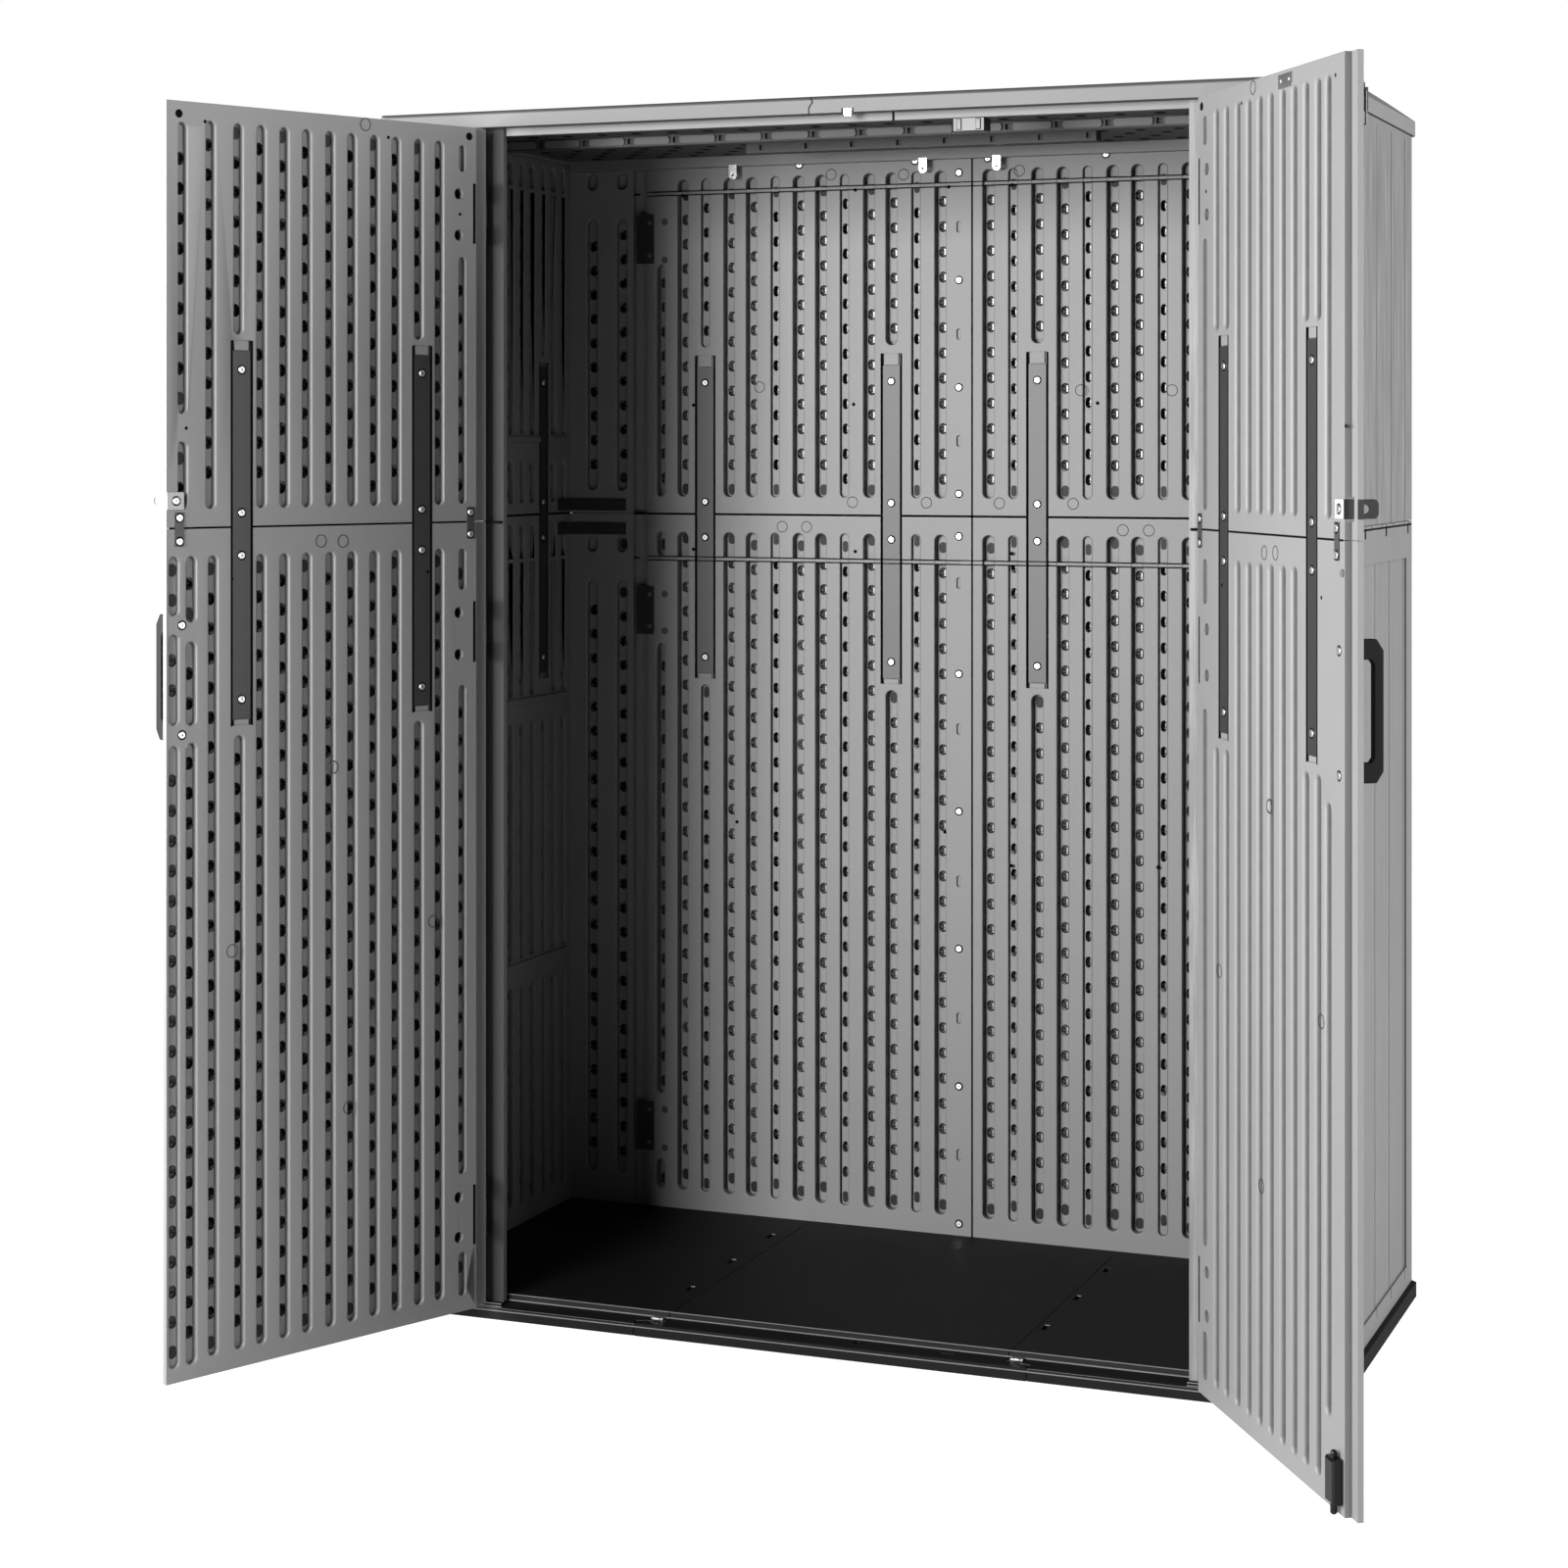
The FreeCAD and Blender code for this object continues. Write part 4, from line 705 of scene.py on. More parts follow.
def run_tree(name, build, mesh, **inputs):
    """Runs a node tree on a base mesh with its inputs set by socket identifier"""
    if name not in TREES:
        TREES[name] = build()
    tree = TREES[name]

    def change(holder):
        work = holder.modifiers.new(name, "NODES")
        work.node_group = tree
        labels = {item.name: item.identifier for item in tree.interface.items_tree if item.in_out == "INPUT"}
        for label, value in inputs.items():
            work[labels[label.replace("_", " ").title()]] = value
    return evaluated(mesh, change)


def point_mesh(points, ways, sizes=None):
    """Loose points that carry a direction and a scale for a tree's tiles"""
    mesh = bpy.data.meshes.new("points")
    mesh.from_pydata(points, [], [])
    for label, values in (("way", ways), ("size", sizes or [(1, 1, 1)] * len(points))):
        layer = mesh.attributes.new(label, "FLOAT_VECTOR", "POINT")
        layer.data.foreach_set("vector", [part for value in values for part in value])
    return mesh


def scatter(name, tree, build, places, body, slot, nodes=(), **inputs):
    """One piece made of a tree's tiles at places, which are pairs of a point and a direction"""
    mesh = run_tree(tree, build, point_mesh([p for p, w in places], [w for p, w in places]), **inputs)
    return piece(name, mesh, body, slot, *nodes)


def spots(name, places, radius, body="cabinet", slot="panel_plastic", look="shadow_black"):
    """Flat discs at places; radius in mm"""
    scatter(name, "dots", dot_tree, places, body, slot, radius=radius * MM, finish=finish(look))


def circles(name, places, body="cabinet"):
    # painted shade: the raised circles are drawn near black
    scatter(name, "rings", ring_tree, places, body, "panel_plastic", finish=finish("painted_deep_shade"))


def screw_places(node):
    """Seat point and outward direction of every screw of a CAD node, from its largest flat face"""
    work = welded(node)
    places = []
    for island in islands(work.faces):
        base = max(island, key=lambda face: face.calc_area())
        places.append((tuple(base.calc_center_median()), tuple(-base.normal)))
    work.free()
    return places


def screws(node, extra=()):
    """Screw heads where a CAD node has them, and at extra places"""
    scatter("fitted_" + node, "screw_heads", screw_tree, screw_places(node) + list(extra), BODY_OF[node],
            SLOT_OF[node], (node,), head=SCREW_HEAD, seat=SCREW_SEAT, head_finish=finish("zinc_plate"),
            seat_finish=finish("shadow_black"))


def door_spot(side, s, z, depth=0.0):
    """A place on a door's inner face, s from the hinge edge and z from its bottom edge, both in mm"""
    turn = door_turn(side)
    flat = Vector((door_x(side, s) * MM, DOOR_INSIDE + depth, (DOOR_FOOT + z) * MM))
    return tuple(turn @ flat), tuple(turn.to_3x3() @ Vector((0, 1, 0)))


def boxes(name, places, body, finish_name, turn=None):
    """Plain boxes as one piece: each place is a low and a high corner in mm"""
    work = bmesh.new()
    for low, high in places:
        low, high = Vector(low) * MM, Vector(high) * MM
        fit = Matrix.Translation((low + high) / 2) @ Matrix.Diagonal((high - low).to_4d())
        bmesh.ops.create_cube(work, size=1.0, matrix=fit)
    if turn:
        bmesh.ops.transform(work, matrix=turn, verts=work.verts)
    mesh = made_mesh(name, work)
    mesh.materials.append(finish(finish_name))
    return piece(name, mesh, body, "panel_plastic")


def between(start, end, bars):
    """The stretches from start to end that bars leave open, in mm"""
    marks = [start] + [bar + half for bar in sorted(bars) for half in (-BAR_HALF, BAR_HALF)] + [end]
    return list(zip(marks[::2], marks[1::2]))


def half_circle(r, middle, way):
    """Points from r to -r about a middle height, above it for way 1 and below it for way -1"""
    return [(r * math.cos(math.pi * k / 8), middle + way * r * math.sin(math.pi * k / 8)) for k in range(9)]


def flat_face(work, x, points, depth):
    return work.faces.new([work.verts.new((x + a, b, depth)) for a, b in points])


def pocket_strips(grooves, phases, shift, slope, share, tab, gap):
    """Strips with pockets for a list of grooves, in the panel's local frame, and the strips' plain ends"""
    group = settings("panels")
    pitch, long = group.pitch, group.pocket_tall / 2
    room = 0.62 * pitch   # what a tile needs from its middle to the groove's end
    points = []
    sizes = []
    caps = bmesh.new()
    column = -1
    last = None
    for groove in grooves:
        x, bottom, top, floor = groove["x"], groove["low"], groove["high"], groove["depth"]
        if last is None or abs(x - last) > 12 * MM:
            column += 1
            last = x
        phase = phases[(column + shift) % 2]
        wide = groove["wide"] - gap
        first = math.ceil((bottom + room - phase) / pitch)
        count = 0
        z = phase + first * pitch
        start = z - pitch / 2
        while z + room <= top:
            points.append((x, z, -floor))
            sizes.append((wide / TILE_WIDE, 1.0, groove["reach"] - floor))
            z += pitch
            count += 1
        # pockets that a whole tile has no room for are flat ovals, painted dark as the shade inside a pocket
        half = share * wide / 2
        for step in range(math.ceil((bottom - phase) / pitch), math.ceil((top - phase) / pitch)):
            z = step * pitch + phase
            if first <= step < first + count or z - long <= bottom + 1 * MM or z + long >= top - 1 * MM:
                continue
            above = half_circle(half, z + long - half, 1)
            below = half_circle(half, z - long + half, -1)
            flat_face(caps, x, below[:1] + above[1:] + below[7:0:-1], 0.15 * MM - floor).material_index = 3
        r = wide / 2
        ends = [(bottom, start), (start + count * pitch, top)] if count else [(bottom, top)]
        for low, high in ends:
            pts = half_circle(r, low + r, -1)[::-1] if low == bottom else [(-r, low), (r, low)]
            pts += half_circle(r, high - r, 1) if high == top else [(r, high), (-r, high)]
            if high - low > 0.3 * MM and (high - low > r or low != bottom):
                flat_face(caps, x, pts, -floor)
    base = point_mesh(points, [(0, 0, 1)] * len(points), sizes)
    strips = run_tree("pocket_tiles", pocket_tree, base, tile_width=TILE_WIDE, pitch=pitch,
                      pocket_width=TILE_WIDE * share, pocket_height=group.pocket_tall, slope=slope,
                      tab_width=tab, strip_finish=finish("hdpe_inside"), pocket_finish=finish("painted_pocket_shade"),
                      tab_finish=finish("painted_pocket_highlight"))
    return strips, made_mesh("caps", caps)


def grooved_panel(node, local, bottom, phases, shift=0, slope=0.0, share=None, lip=None,
                  outside="hdpe_wood_grain", fills=(), cuts=(), slides=(), post_shadow=False,
                  tab=0.0, gap=0.3 * MM, sharp=()):
    """A moulded panel: the CAD form with rounded lips, and pocket strips set in its grooves"""
    group = settings("panels")
    work = welded(node)
    bmesh.ops.transform(work, matrix=local, verts=work.verts)
    if fills or cuts:
        recut(work, fills, cuts)
    for low, high, move in slides:
        for vert in work.verts:
            if low * MM < vert.co.y < high * MM:
                vert.co.y += move * MM
    grooves = groove_floors(work)
    shallow = [deep * MM for x, low, high, wide, deep in cuts if deep < 6.0]
    for groove in grooves:
        thin = any(abs(groove["depth"] - deep) < 0.3 * MM for deep in shallow)
        groove["reach"] = groove["depth"] + 1.8 * MM if thin else bottom
        for vert in groove["verts"]:
            vert.co.z = -groove["reach"] - 0.3 * MM
    rimmed = [groove for groove in grooves if all(abs(abs(groove["x"]) - x * MM) > 2 * MM for x in sharp)]
    soften_rims(work, rimmed, lip or group.lip)
    work.normal_update()
    for face in work.faces:
        face.material_index = 1 if face.normal.z < -0.5 else 0
        across = [vert.co.x for vert in face.verts]
        along = [vert.co.y for vert in face.verts]
        # painted shade: long narrow faces that face outwards are painted near black
        if face.normal.z < -0.9 and max(across) - min(across) < 4.5 * MM and max(along) - min(along) > 60 * MM:
            face.material_index = 3
    # long outlines are cut into triangles here, because the rounding folds some of them
    bmesh.ops.triangulate(work, faces=[face for face in work.faces if len(face.verts) > 12])
    mesh = made_mesh("shaped_" + node, work)
    looks = ["hdpe_inside", outside, "painted_pocket_shade", "painted_deep_shade", "painted_pocket_highlight"]
    for name in looks[:4]:
        mesh.materials.append(finish(name))
    mesh = rounded(mesh, 0.8 * MM)
    strips, caps = pocket_strips(grooves, phases, shift, slope, share or group.pocket_share, tab, gap)
    whole = bmesh.new()
    whole.from_mesh(mesh)
    for extra in (strips, caps):
        first = len(whole.faces)
        whole.from_mesh(extra)
        whole.faces.ensure_lookup_table()
        # strips carry their own materials; the caps' indices are the panel's already
        table = [looks.index(m.name) if m and m.name in looks else 2 for m in extra.materials]
        for face in whole.faces[first:]:
            face.smooth = False
            if table:
                face.material_index = table[min(face.material_index, len(table) - 1)]
            if extra is caps and face.normal.z < 0:
                face.normal_flip()
    bmesh.ops.transform(whole, matrix=local.inverted(), verts=whole.verts)
    final = made_mesh("shaped_" + node, whole)
    if post_shadow:
        looks.append("hdpe_rebate")
    for name in looks:
        final.materials.append(finish(name))
    for face in final.polygons:
        # painted shadow: the front faces of the left front post, which the open left door shades, are painted dark
        if post_shadow and face.normal.y < -0.5 and -0.575 < face.center.x < 0:
            face.material_index = looks.index("hdpe_rebate")
    final = even_shading(final)
    return piece("shaped_" + node, final, BODY_OF[node], SLOT_OF[node], node)


def connector_finish(face):
    """Screw heads stand in front of the leaf; the barrel behind it is plain steel"""
    middle = face.calc_center_median()
    if middle.y < 0.2979:
        return "plain_steel"
    return "plain_steel" if abs(middle.x) > 0.5765 and middle.y > 0.2985 else None


# Operators

class CABINET_OT_back(bpy.types.Operator):
    """Back wall and rear corner panels with pocketed grooves"""
    bl_idname = "cabinet.back"
    bl_label = "Back Wall"

    def execute(self, context):
        deep = settings("panels").wall_deep
        local = plane_frame((0, BACK_INSIDE, 0), (0, -1, 0))
        # a pocket's height in the odd and in the even columns, as in the other operators
        phases = {"lower": (615.0 * MM, 625.6 * MM), "upper": (1730.0 * MM, 1753.3 * MM)}
        wall = {"tab": 2.6 * MM, "gap": 2.8 * MM}
        for side in SIGN:
            for part in ("lower", "upper"):
                end = "_%s_%s" % (side, part)
                grooved_panel("back_panel" + end, local, deep, phases[part], slides=BACK_SLIDES[part], **wall)
                grooved_panel("rear_corner" + end, local, deep, phases[part][::-1], **wall)

        def on_wall(places, y=BACK_FACE - 0.1):
            return [((x * MM, y * MM, z * MM), (0, -1, 0)) for x, z in places]
        screws("back_screws", extra=on_wall([(x, 1797.0) for x in LEDGE_SCREWS]))
        spots("back_pilot_holes", on_wall(BACK_HOLES), 3.0)
        dimples = [(x, z) for x in (-533.4, 533.4) for z in (128, 193, 1010, 1073, 1643, 1708)]
        # painted shade: flat discs in the pocket shade finish stand for the dimples' hollows
        spots("back_dimples", on_wall(dimples), 6.0, look="painted_pocket_shade")
        circles("back_mould_circles", on_wall(BACK_RINGS, BACK_FACE))
        low, high = 24.0, 1807.0
        near, far = BACK_FACE - 0.2, BACK_FACE + 0.6
        dark = [((x0, y0, JOINT - 1.8), (x1, y1, JOINT + 1.8)) for x0, x1, y0, y1 in
                [(-710, -572, 304, 315), (572, 710, 304, 315), (-710, -536, -315, -305), (536, 710, -315, -305)]
                + [(a, b, near, far) for a, b in between(-BACK_HALF, BACK_HALF, BACK_BARS)]
                + [(x0, x1, a, b) for x0, x1 in ((-712, -711.2), (711.2, 712))
                   for a, b in between(-300, 300, SIDE_BARS)]]
        # upright gaps, the edges of the ribs, and the gaps beside the bars
        dark += [((SEAM_X - 1.5, near, low), (SEAM_X + 1.5, far, high)),
                 ((-567.4, 312, low), (-566.1, 318, high)), ((566.1, 312, low), (567.4, 318, high))]
        dark += [((-BACK_HALF, near, z + e - 0.9), (BACK_HALF, BACK_FACE + 0.2, z + e + 0.9))
                 for z in RIBS for e in (-3.4, 3.4)]
        dark += [((x - 62, 301, z - 1.5), (x + 62, 301.6, z + 1.5)) for z in RIBS for x in (-642, 642)]
        dark += [((x + e - 1.7, BACK_FACE - 0.3, 931), (x + e + 1.7, BACK_FACE + 0.5, 1479))
                 for x in BACK_BARS for e in BAR_GAPS]
        dark += [((x0, y + e - 0.9, 932), (x1, y + e + 0.9, 1467)) for y in SIDE_BARS for e in (-16.1, 16.1)
                 for x0, x1 in ((-712, -711.3), (711.3, 712))]
        boxes("wall_seam_shadows", dark, "cabinet", "shadow_black")
        # dark gaps of the snap joint, seen on the outside of the side walls
        gaps = [(-84, 315, 1202.6, 1205.4)] + [(y - 4.5, y + 4.5, 1191, 1204) for y in JOINT_TEETH]
        skins = ((-WALL_OUT - 0.8, -WALL_OUT), (WALL_OUT, WALL_OUT + 0.8))
        boxes("side_joint_gaps", [((x0, y0, z0), (x1, y1, z1)) for x0, x1 in skins for y0, y1, z0, z1 in gaps],
              "cabinet", "shadow_black")
        return {"FINISHED"}


class CABINET_OT_sides(bpy.types.Operator):
    """Side walls and front corner panels"""
    bl_idname = "cabinet.sides"
    bl_label = "Side Walls"

    def execute(self, context):
        deep = settings("panels").side_deep
        phases = (620.0 * MM, 640.0 * MM)
        front = plane_frame((0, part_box("front_corner_left_lower")[1][1], 0), (0, 1, 0))
        for side in SIGN:
            local = plane_frame((SIGN[side] * WALL_INSIDE, 0, 0), (-SIGN[side], 0, 0))
            for part, skin in (("lower", "hdpe_fine_grain"), ("upper", "hdpe_wood_grain")):
                end = "_%s_%s" % (side, part)
                grooved_panel("side_wall" + end, local, deep, phases, slope=2.0 * MM, outside=skin)
                grooved_panel("front_corner" + end, front, 15.0 * MM, phases, post_shadow=True)
        return {"FINISHED"}


class CABINET_OT_doors(bpy.types.Operator):
    """Door panels, bars, plates, handles and screws"""
    bl_idname = "cabinet.doors"
    bl_label = "Doors"

    def execute(self, context):
        group = settings("panels")
        phases = {"lower": (1112.0 * MM, 1134.0 * MM), "upper": (1726.5 * MM, 1748.5 * MM)}
        soft = {"left": 1.0, "right": 1.7}
        for side in SIGN:
            body = side + "_door"
            turn = door_turn(side)
            flat = turn.inverted()
            # grooves that are closed and cut again: x in the panel's frame, low, high, width, depth
            column, dimple = (SIGN[side] * (DOOR_EDGE + s) for s in (HINGE_COLUMN, DIMPLE_COLUMN))
            fills = {"lower": [(column, 40.0, 1178.0, 18.0, 9.0)], "upper": []}
            cuts = {"lower": [(column, low, high, 15.0, 8.0) for low, high in HINGE_SPANS], "upper": []}
            for z in HINGE_DIMPLES:
                z += DOOR_FOOT
                part = "lower" if z < JOINT else "upper"
                cuts[part].append((dimple, z - DIMPLE_HALF, z + DIMPLE_HALF, 16.0, 8.0))
            if side == "left":
                for part, spans in (("lower", EDGE_FILLS_LOW), ("upper", EDGE_FILLS_HIGH)):
                    fills[part] += [(-DOOR_EDGE - s, low, high, 14.0, 5.0) for s, low, high in spans]
                for part, columns in (("lower", EDGE_COLUMNS), ("upper", (EDGE_COLUMN_HIGH,))):
                    cuts[part] += [(-DOOR_EDGE - s, low, high, wide, deep) for s, wide, deep, spans in columns
                                   for low, high in spans]
            for part in ("lower", "upper"):
                grooved_panel("%s_door_%s" % (side, part), door_frame(side), group.door_deep, phases[part],
                              0 if side == "left" else 1, fills=fills[part], cuts=cuts[part],
                              share=group.door_share, lip=group.door_lip * soft[side],
                              sharp=(DOOR_EDGE + HINGE_COLUMN, DOOR_EDGE + DIMPLE_COLUMN))
            dress(side + "_door_bars", 0.5 * MM)
            dress(side + "_joint_plates", 0.4 * MM, lambda face: "plate_black")
            dress(side + "_handle", 1.5 * MM, lambda face: "handle_black_plastic")
            # painted shade: the right hasp's strap is painted dark where it lies in front of the door's inner face
            dress(side + "_hasp", 0.15 * MM, lambda face: "hasp_steel" if side == "right" and
                  (flat @ face.calc_center_median()).y < HASP_FOLD * MM else "hasp_zinc")
            wide = DOOR_WIDE[side]
            extra = [door_spot(side, s, PLATE_Z + d, 1.5 * MM) for s in PLATE_S[side] for d in (-18.5, 14.5)]
            extra.append(door_spot(side, wide - 15.0, 1224.0, 1.6 * MM))
            screws(side + "_door_screws", extra=extra)
            corners = [(s, z) for s, z in ((527.0, 1762.0), (13.4, 1766.0)) if s < wide]
            spots(side + "_corner_holes", [door_spot(side, s, z) for s, z in corners], 6.0, body)
            spots(side + "_pilot_holes", [door_spot(side, s, z) for s, z in DOOR_HOLES], 2.6, body)
            circles(side + "_mould_circles", [door_spot(side, s, z) for s, z in DOOR_RINGS], body)
            dents = [door_spot(side, DIMPLE_COLUMN, z, -7.6 * MM) for z in HINGE_DIMPLES]
            spots(side + "_hinge_dimples", dents, 7.6, body)
            # dark gaps: the middle joint, beside the bars, and at the hinges
            near, far = sorted((door_x(side, 5.0), door_x(side, wide - 5.0)))
            bars = [door_x(side, s) for s in DOOR_BARS[side]]
            gaps = [(a, b, JOINT + 0.6, JOINT + 3.4) for a, b in between(near, far, bars)]
            gaps += [(x + e - 1.6, x + e + 1.6, 931.0, 1475.0) for x in bars for e in BAR_GAPS]
            x = door_x(side, 3.5)
            gaps += [(x - 2.0, x + 2.0, low + DOOR_FOOT, high + DOOR_FOOT) for low, high in HINGE_SLOTS]
            face = DOOR_INSIDE / MM
            dark = [((x0, face - 1, z0), (x1, face + 0.15, z1)) for x0, x1, z0, z1 in gaps]
            boxes(side + "_door_seam_shadow", dark, body, "shadow_black", turn)
        # the strap's part that crosses the end of the lap, painted dark as shade
        x = door_x("right", 532.5)
        boxes("hasp_crossing", [((x - 0.7, -323.0, 1238.0), (x + 0.1, -315.2, 1262.0))],
              "right_door", "hasp_steel", door_turn("right"))
        return {"FINISHED"}


class CABINET_OT_base(bpy.types.Operator):
    """Floor panels and clips"""
    bl_idname = "cabinet.base"
    bl_label = "Base"

    def execute(self, context):
        for node in ("floor_left", "floor_centre", "floor_right"):
            mesh = dress(node, 1.2 * MM).data
            mesh.materials.append(finish("painted_edge_highlight"))
            for face in mesh.polygons:
                # painted highlight: narrow faces that lean up and to the front are painted pale, as thin lines of
                # light
                long = max((mesh.vertices[a].co - mesh.vertices[b].co).length for a, b in face.edge_keys)
                if 0.25 < face.normal.z < 0.93 and face.normal.y < -0.3 and face.area < 2.0 * MM * long:
                    face.material_index = 1
        dress("floor_clips", 0.3 * MM)
        # painted highlight: pale lines along the edges of the step and of the threshold
        boxes("base_highlight_lines", [((-726, BASE_FRONT - 0.3, 13.0), (726, BASE_FRONT + 0.5, 14.6)),
                                  ((-712, -293.9, 21.6), (712, -293.2, 23.2)),
                                  ((-712, -292.6, CREST - 0.8), (712, -291.4, CREST + 0.3))],
              "cabinet", "painted_edge_highlight")
        return {"FINISHED"}


class CABINET_OT_roof(bpy.types.Operator):
    """Roof halves, ceiling, header, beams, ledge and tabs"""
    bl_idname = "cabinet.roof"
    bl_label = "Roof"

    def execute(self, context):
        for node in ("roof_left", "roof_right"):
            # painted shade: the roof's front faces take a darker grey than the rest of the roof
            dress(node, 1.5 * MM, lambda face: "hdpe_ceiling" if face.normal.z < -0.5 else
                  "hdpe_fascia" if face.normal.y < -0.5 else None)
        dress("roof_header", 1.0 * MM)
        dress("roof_beams", 1.0 * MM)
        low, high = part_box("roof_beams")
        pads = [((x * MM, low.y - 1 * MM, high.z - 8 * MM), (0, -1, 0)) for x in range(-624, 700, 78)]
        scatter("ceiling_pads", "pads", pad_tree, pads, "cabinet", "dark_plastic", finish=finish("hdpe_trim"))
        dimples = [((x * MM, y * MM, high.z - 0.2 * MM), (0, 0, -1)) for y in range(-250, 260, 46)
                   for x in range(-670 + 30 * (y // 46 % 2), 700, 60)]
        spots("ceiling_dimples", dimples, 9, slot="dark_plastic")
        for node, width in (("rear_ledge", 1.0), ("rear_tabs", 0.3), ("roof_catch", 0.3)):
            dress(node, width * MM)
        return {"FINISHED"}


class CABINET_OT_hardware(bpy.types.Operator):
    """Bars, plates, hinges, connectors, catches, latch and bolt"""
    bl_idname = "cabinet.hardware"
    bl_label = "Hardware"

    def execute(self, context):
        for side in SIGN:
            dress("rear_connectors_" + side, 0.3 * MM, connector_finish)
        dress("back_bars", 0.5 * MM, lambda face: "powder_coated_back_bar")
        for node, width in (("side_bars", 0.5), ("corner_plates", 0.4),
                            ("hinge_frame_left", 0.3), ("hinge_frame_right", 0.3), ("hinge_door_left", 0.3),
                            ("hinge_door_right", 0.3), ("magnetic_catch", 0.8), ("strike_plate", 0.3),
                            ("door_plug", 0.4), ("latch_lever", 0.4)):
            dress(node, width * MM)
        for node, width, look in (
                ("bolt", 0.6, "bolt_black_plastic"), ("bolt_housing", 0.8, "bolt_black_plastic"),
                ("latch_base", 0.3, "plain_steel"), ("latch_bail", 0.0, "plain_steel")):
            dress(node, width * MM, lambda face: look)
        screws("side_screws")
        return {"FINISHED"}


def part_seen(tree, mirror):
    """1 where the camera looks straight at a surface, and the mirror share where glossy surfaces reflect it"""
    path = add(tree, "ShaderNodeLightPath")
    shiny = add(tree, "ShaderNodeMath", {0: path.outputs["Is Glossy Ray"]}, {1: mirror}, operation="MULTIPLY")
    return add(tree, "ShaderNodeMath", {0: path.outputs["Is Camera Ray"], 1: shiny.outputs["Value"]},
               operation="MAXIMUM").outputs["Value"]


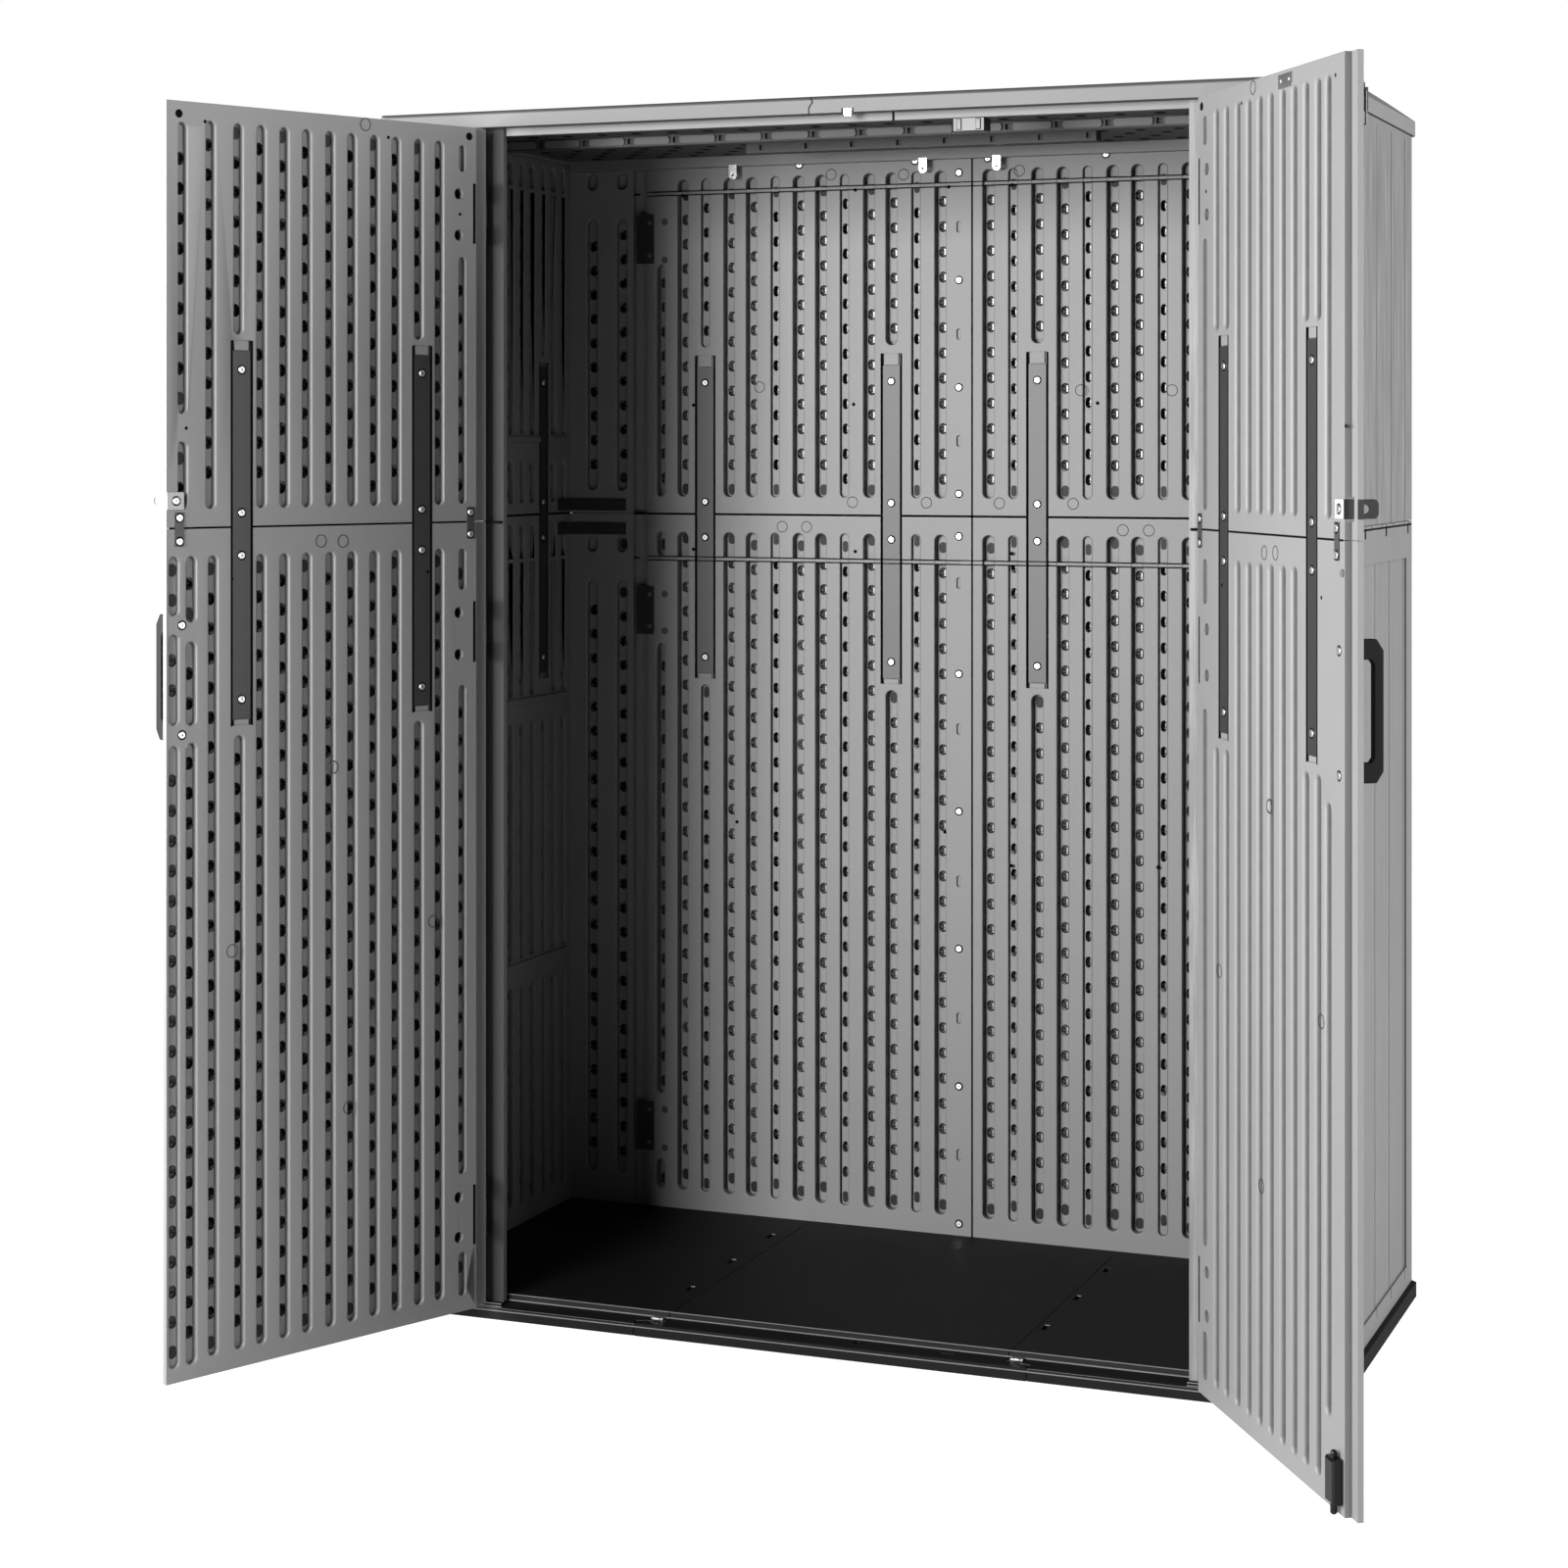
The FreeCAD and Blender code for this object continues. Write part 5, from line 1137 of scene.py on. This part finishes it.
class CABINET_OT_stage(bpy.types.Operator):
    """Pale floor, soft lights and the camera"""
    bl_idname = "cabinet.stage"
    bl_label = "Stage"

    def execute(self, context):
        group = settings("stage")
        scene = context.scene
        scene.view_settings.view_transform = "Standard"
        world = bpy.data.worlds.new("surround")
        scene.world = world
        world.use_nodes = True
        tree = world.node_tree
        tree.nodes.clear()
        seen = part_seen(tree, group.mirror)
        back = add(tree, "ShaderNodeBackground", inputs={"Color": (1, 1, 1, 1), "Strength": 1.0})
        dim = add(tree, "ShaderNodeBackground", inputs={"Color": (1, 1, 1, 1), "Strength": group.sky})
        both = add(tree, "ShaderNodeMixShader", {0: seen, 1: dim.outputs["Background"],
                                                 2: back.outputs["Background"]})
        add(tree, "ShaderNodeOutputWorld", {"Surface": both.outputs["Shader"]})

        material, tree, output = new_material("studio_floor")
        seen = part_seen(tree, group.mirror)
        matt = add(tree, "ShaderNodeBsdfDiffuse", inputs={"Color": linear("c4c4c4")})
        glow = add(tree, "ShaderNodeEmission", inputs={"Color": (1, 1, 1, 1), "Strength": 1.2})
        part = add(tree, "ShaderNodeMath", {0: seen}, {1: 0.9}, operation="MULTIPLY")
        mix = add(tree, "ShaderNodeMixShader", {0: part.outputs["Value"], 1: matt.outputs["BSDF"],
                                                2: glow.outputs["Emission"]})
        tree.links.new(mix.outputs["Shader"], output.inputs["Surface"])
        ground = bpy.data.meshes.new("studio_floor")
        ground.from_pydata([(-30, -30, 0), (30, -30, 0), (30, 30, 0), (-30, 30, 0)], [], [(0, 1, 2, 3)])
        ground.materials.append(material)
        floor = bpy.data.objects.new("studio_floor", ground)
        scene.collection.objects.link(floor)

        for name, spot, aim, size, power in (
                ("key_light", (-1.25, -4.9, 1.9), (0.1, 0.3, 0.9), 1.9, group.key),
                ("left_light", (-3.6, -2.1, 1.4), (0.7, -0.55, 0.95), 1.5, group.left),
                ("side_light", (4.6, -0.4, 1.5), (0.7, 0.0, 1.0), 2.6, group.fill)):
            data = bpy.data.lights.new(name, "AREA")
            data.shape = "SQUARE"
            data.size = size
            data.energy = power
            lamp = bpy.data.objects.new(name, data)
            lamp.location = spot
            lamp.rotation_euler = (Vector(aim) - Vector(spot)).to_track_quat("-Z", "Y").to_euler()
            scene.collection.objects.link(lamp)

        view = bpy.data.cameras.new("photo_camera")
        view.sensor_width = 36.0
        view.lens = CAMERA_LENS
        view.shift_y = CAMERA_SHIFT
        view.clip_end = 200.0
        camera = bpy.data.objects.new("photo_camera", view)
        camera.location = CAMERA_SPOT
        camera.rotation_euler = (math.radians(90.0), 0.0, CAMERA_TURN)
        scene.collection.objects.link(camera)
        scene.camera = camera
        return {"FINISHED"}


class CABINET_PT_panel(bpy.types.Panel):
    """Settings and buttons of the cabinet"""
    bl_idname = "CABINET_PT_panel"
    bl_label = "Cabinet"
    bl_space_type = "VIEW_3D"
    bl_region_type = "UI"
    bl_category = "Cabinet"

    def draw(self, context):
        for name in GROUPS:
            group = settings(name)
            for key in group.__annotations__:
                self.layout.prop(group, key)
        for operator in OPERATORS:
            self.layout.operator(operator.bl_idname)


GROUPS = {"panels": CabinetPanels, "finish": CabinetFinish, "stage": CabinetStage}
OPERATORS = [CABINET_OT_back, CABINET_OT_sides, CABINET_OT_doors, CABINET_OT_base, CABINET_OT_roof,
             CABINET_OT_hardware, CABINET_OT_stage]


def register():
    for cls in list(GROUPS.values()) + OPERATORS + [CABINET_PT_panel]:
        bpy.utils.register_class(cls)
    for name, cls in GROUPS.items():
        setattr(bpy.types.Scene, "cabinet_" + name, bpy.props.PointerProperty(type=cls))


def unregister():
    for name in GROUPS:
        delattr(bpy.types.Scene, "cabinet_" + name)
    for cls in reversed(list(GROUPS.values()) + OPERATORS + [CABINET_PT_panel]):
        bpy.utils.unregister_class(cls)


def main():
    register()
    bpy.ops.cabinet.back()
    bpy.ops.cabinet.sides()
    bpy.ops.cabinet.doors()
    bpy.ops.cabinet.base()
    bpy.ops.cabinet.roof()
    bpy.ops.cabinet.hardware()
    bpy.ops.cabinet.stage()


if __name__ == "__main__":
    main()
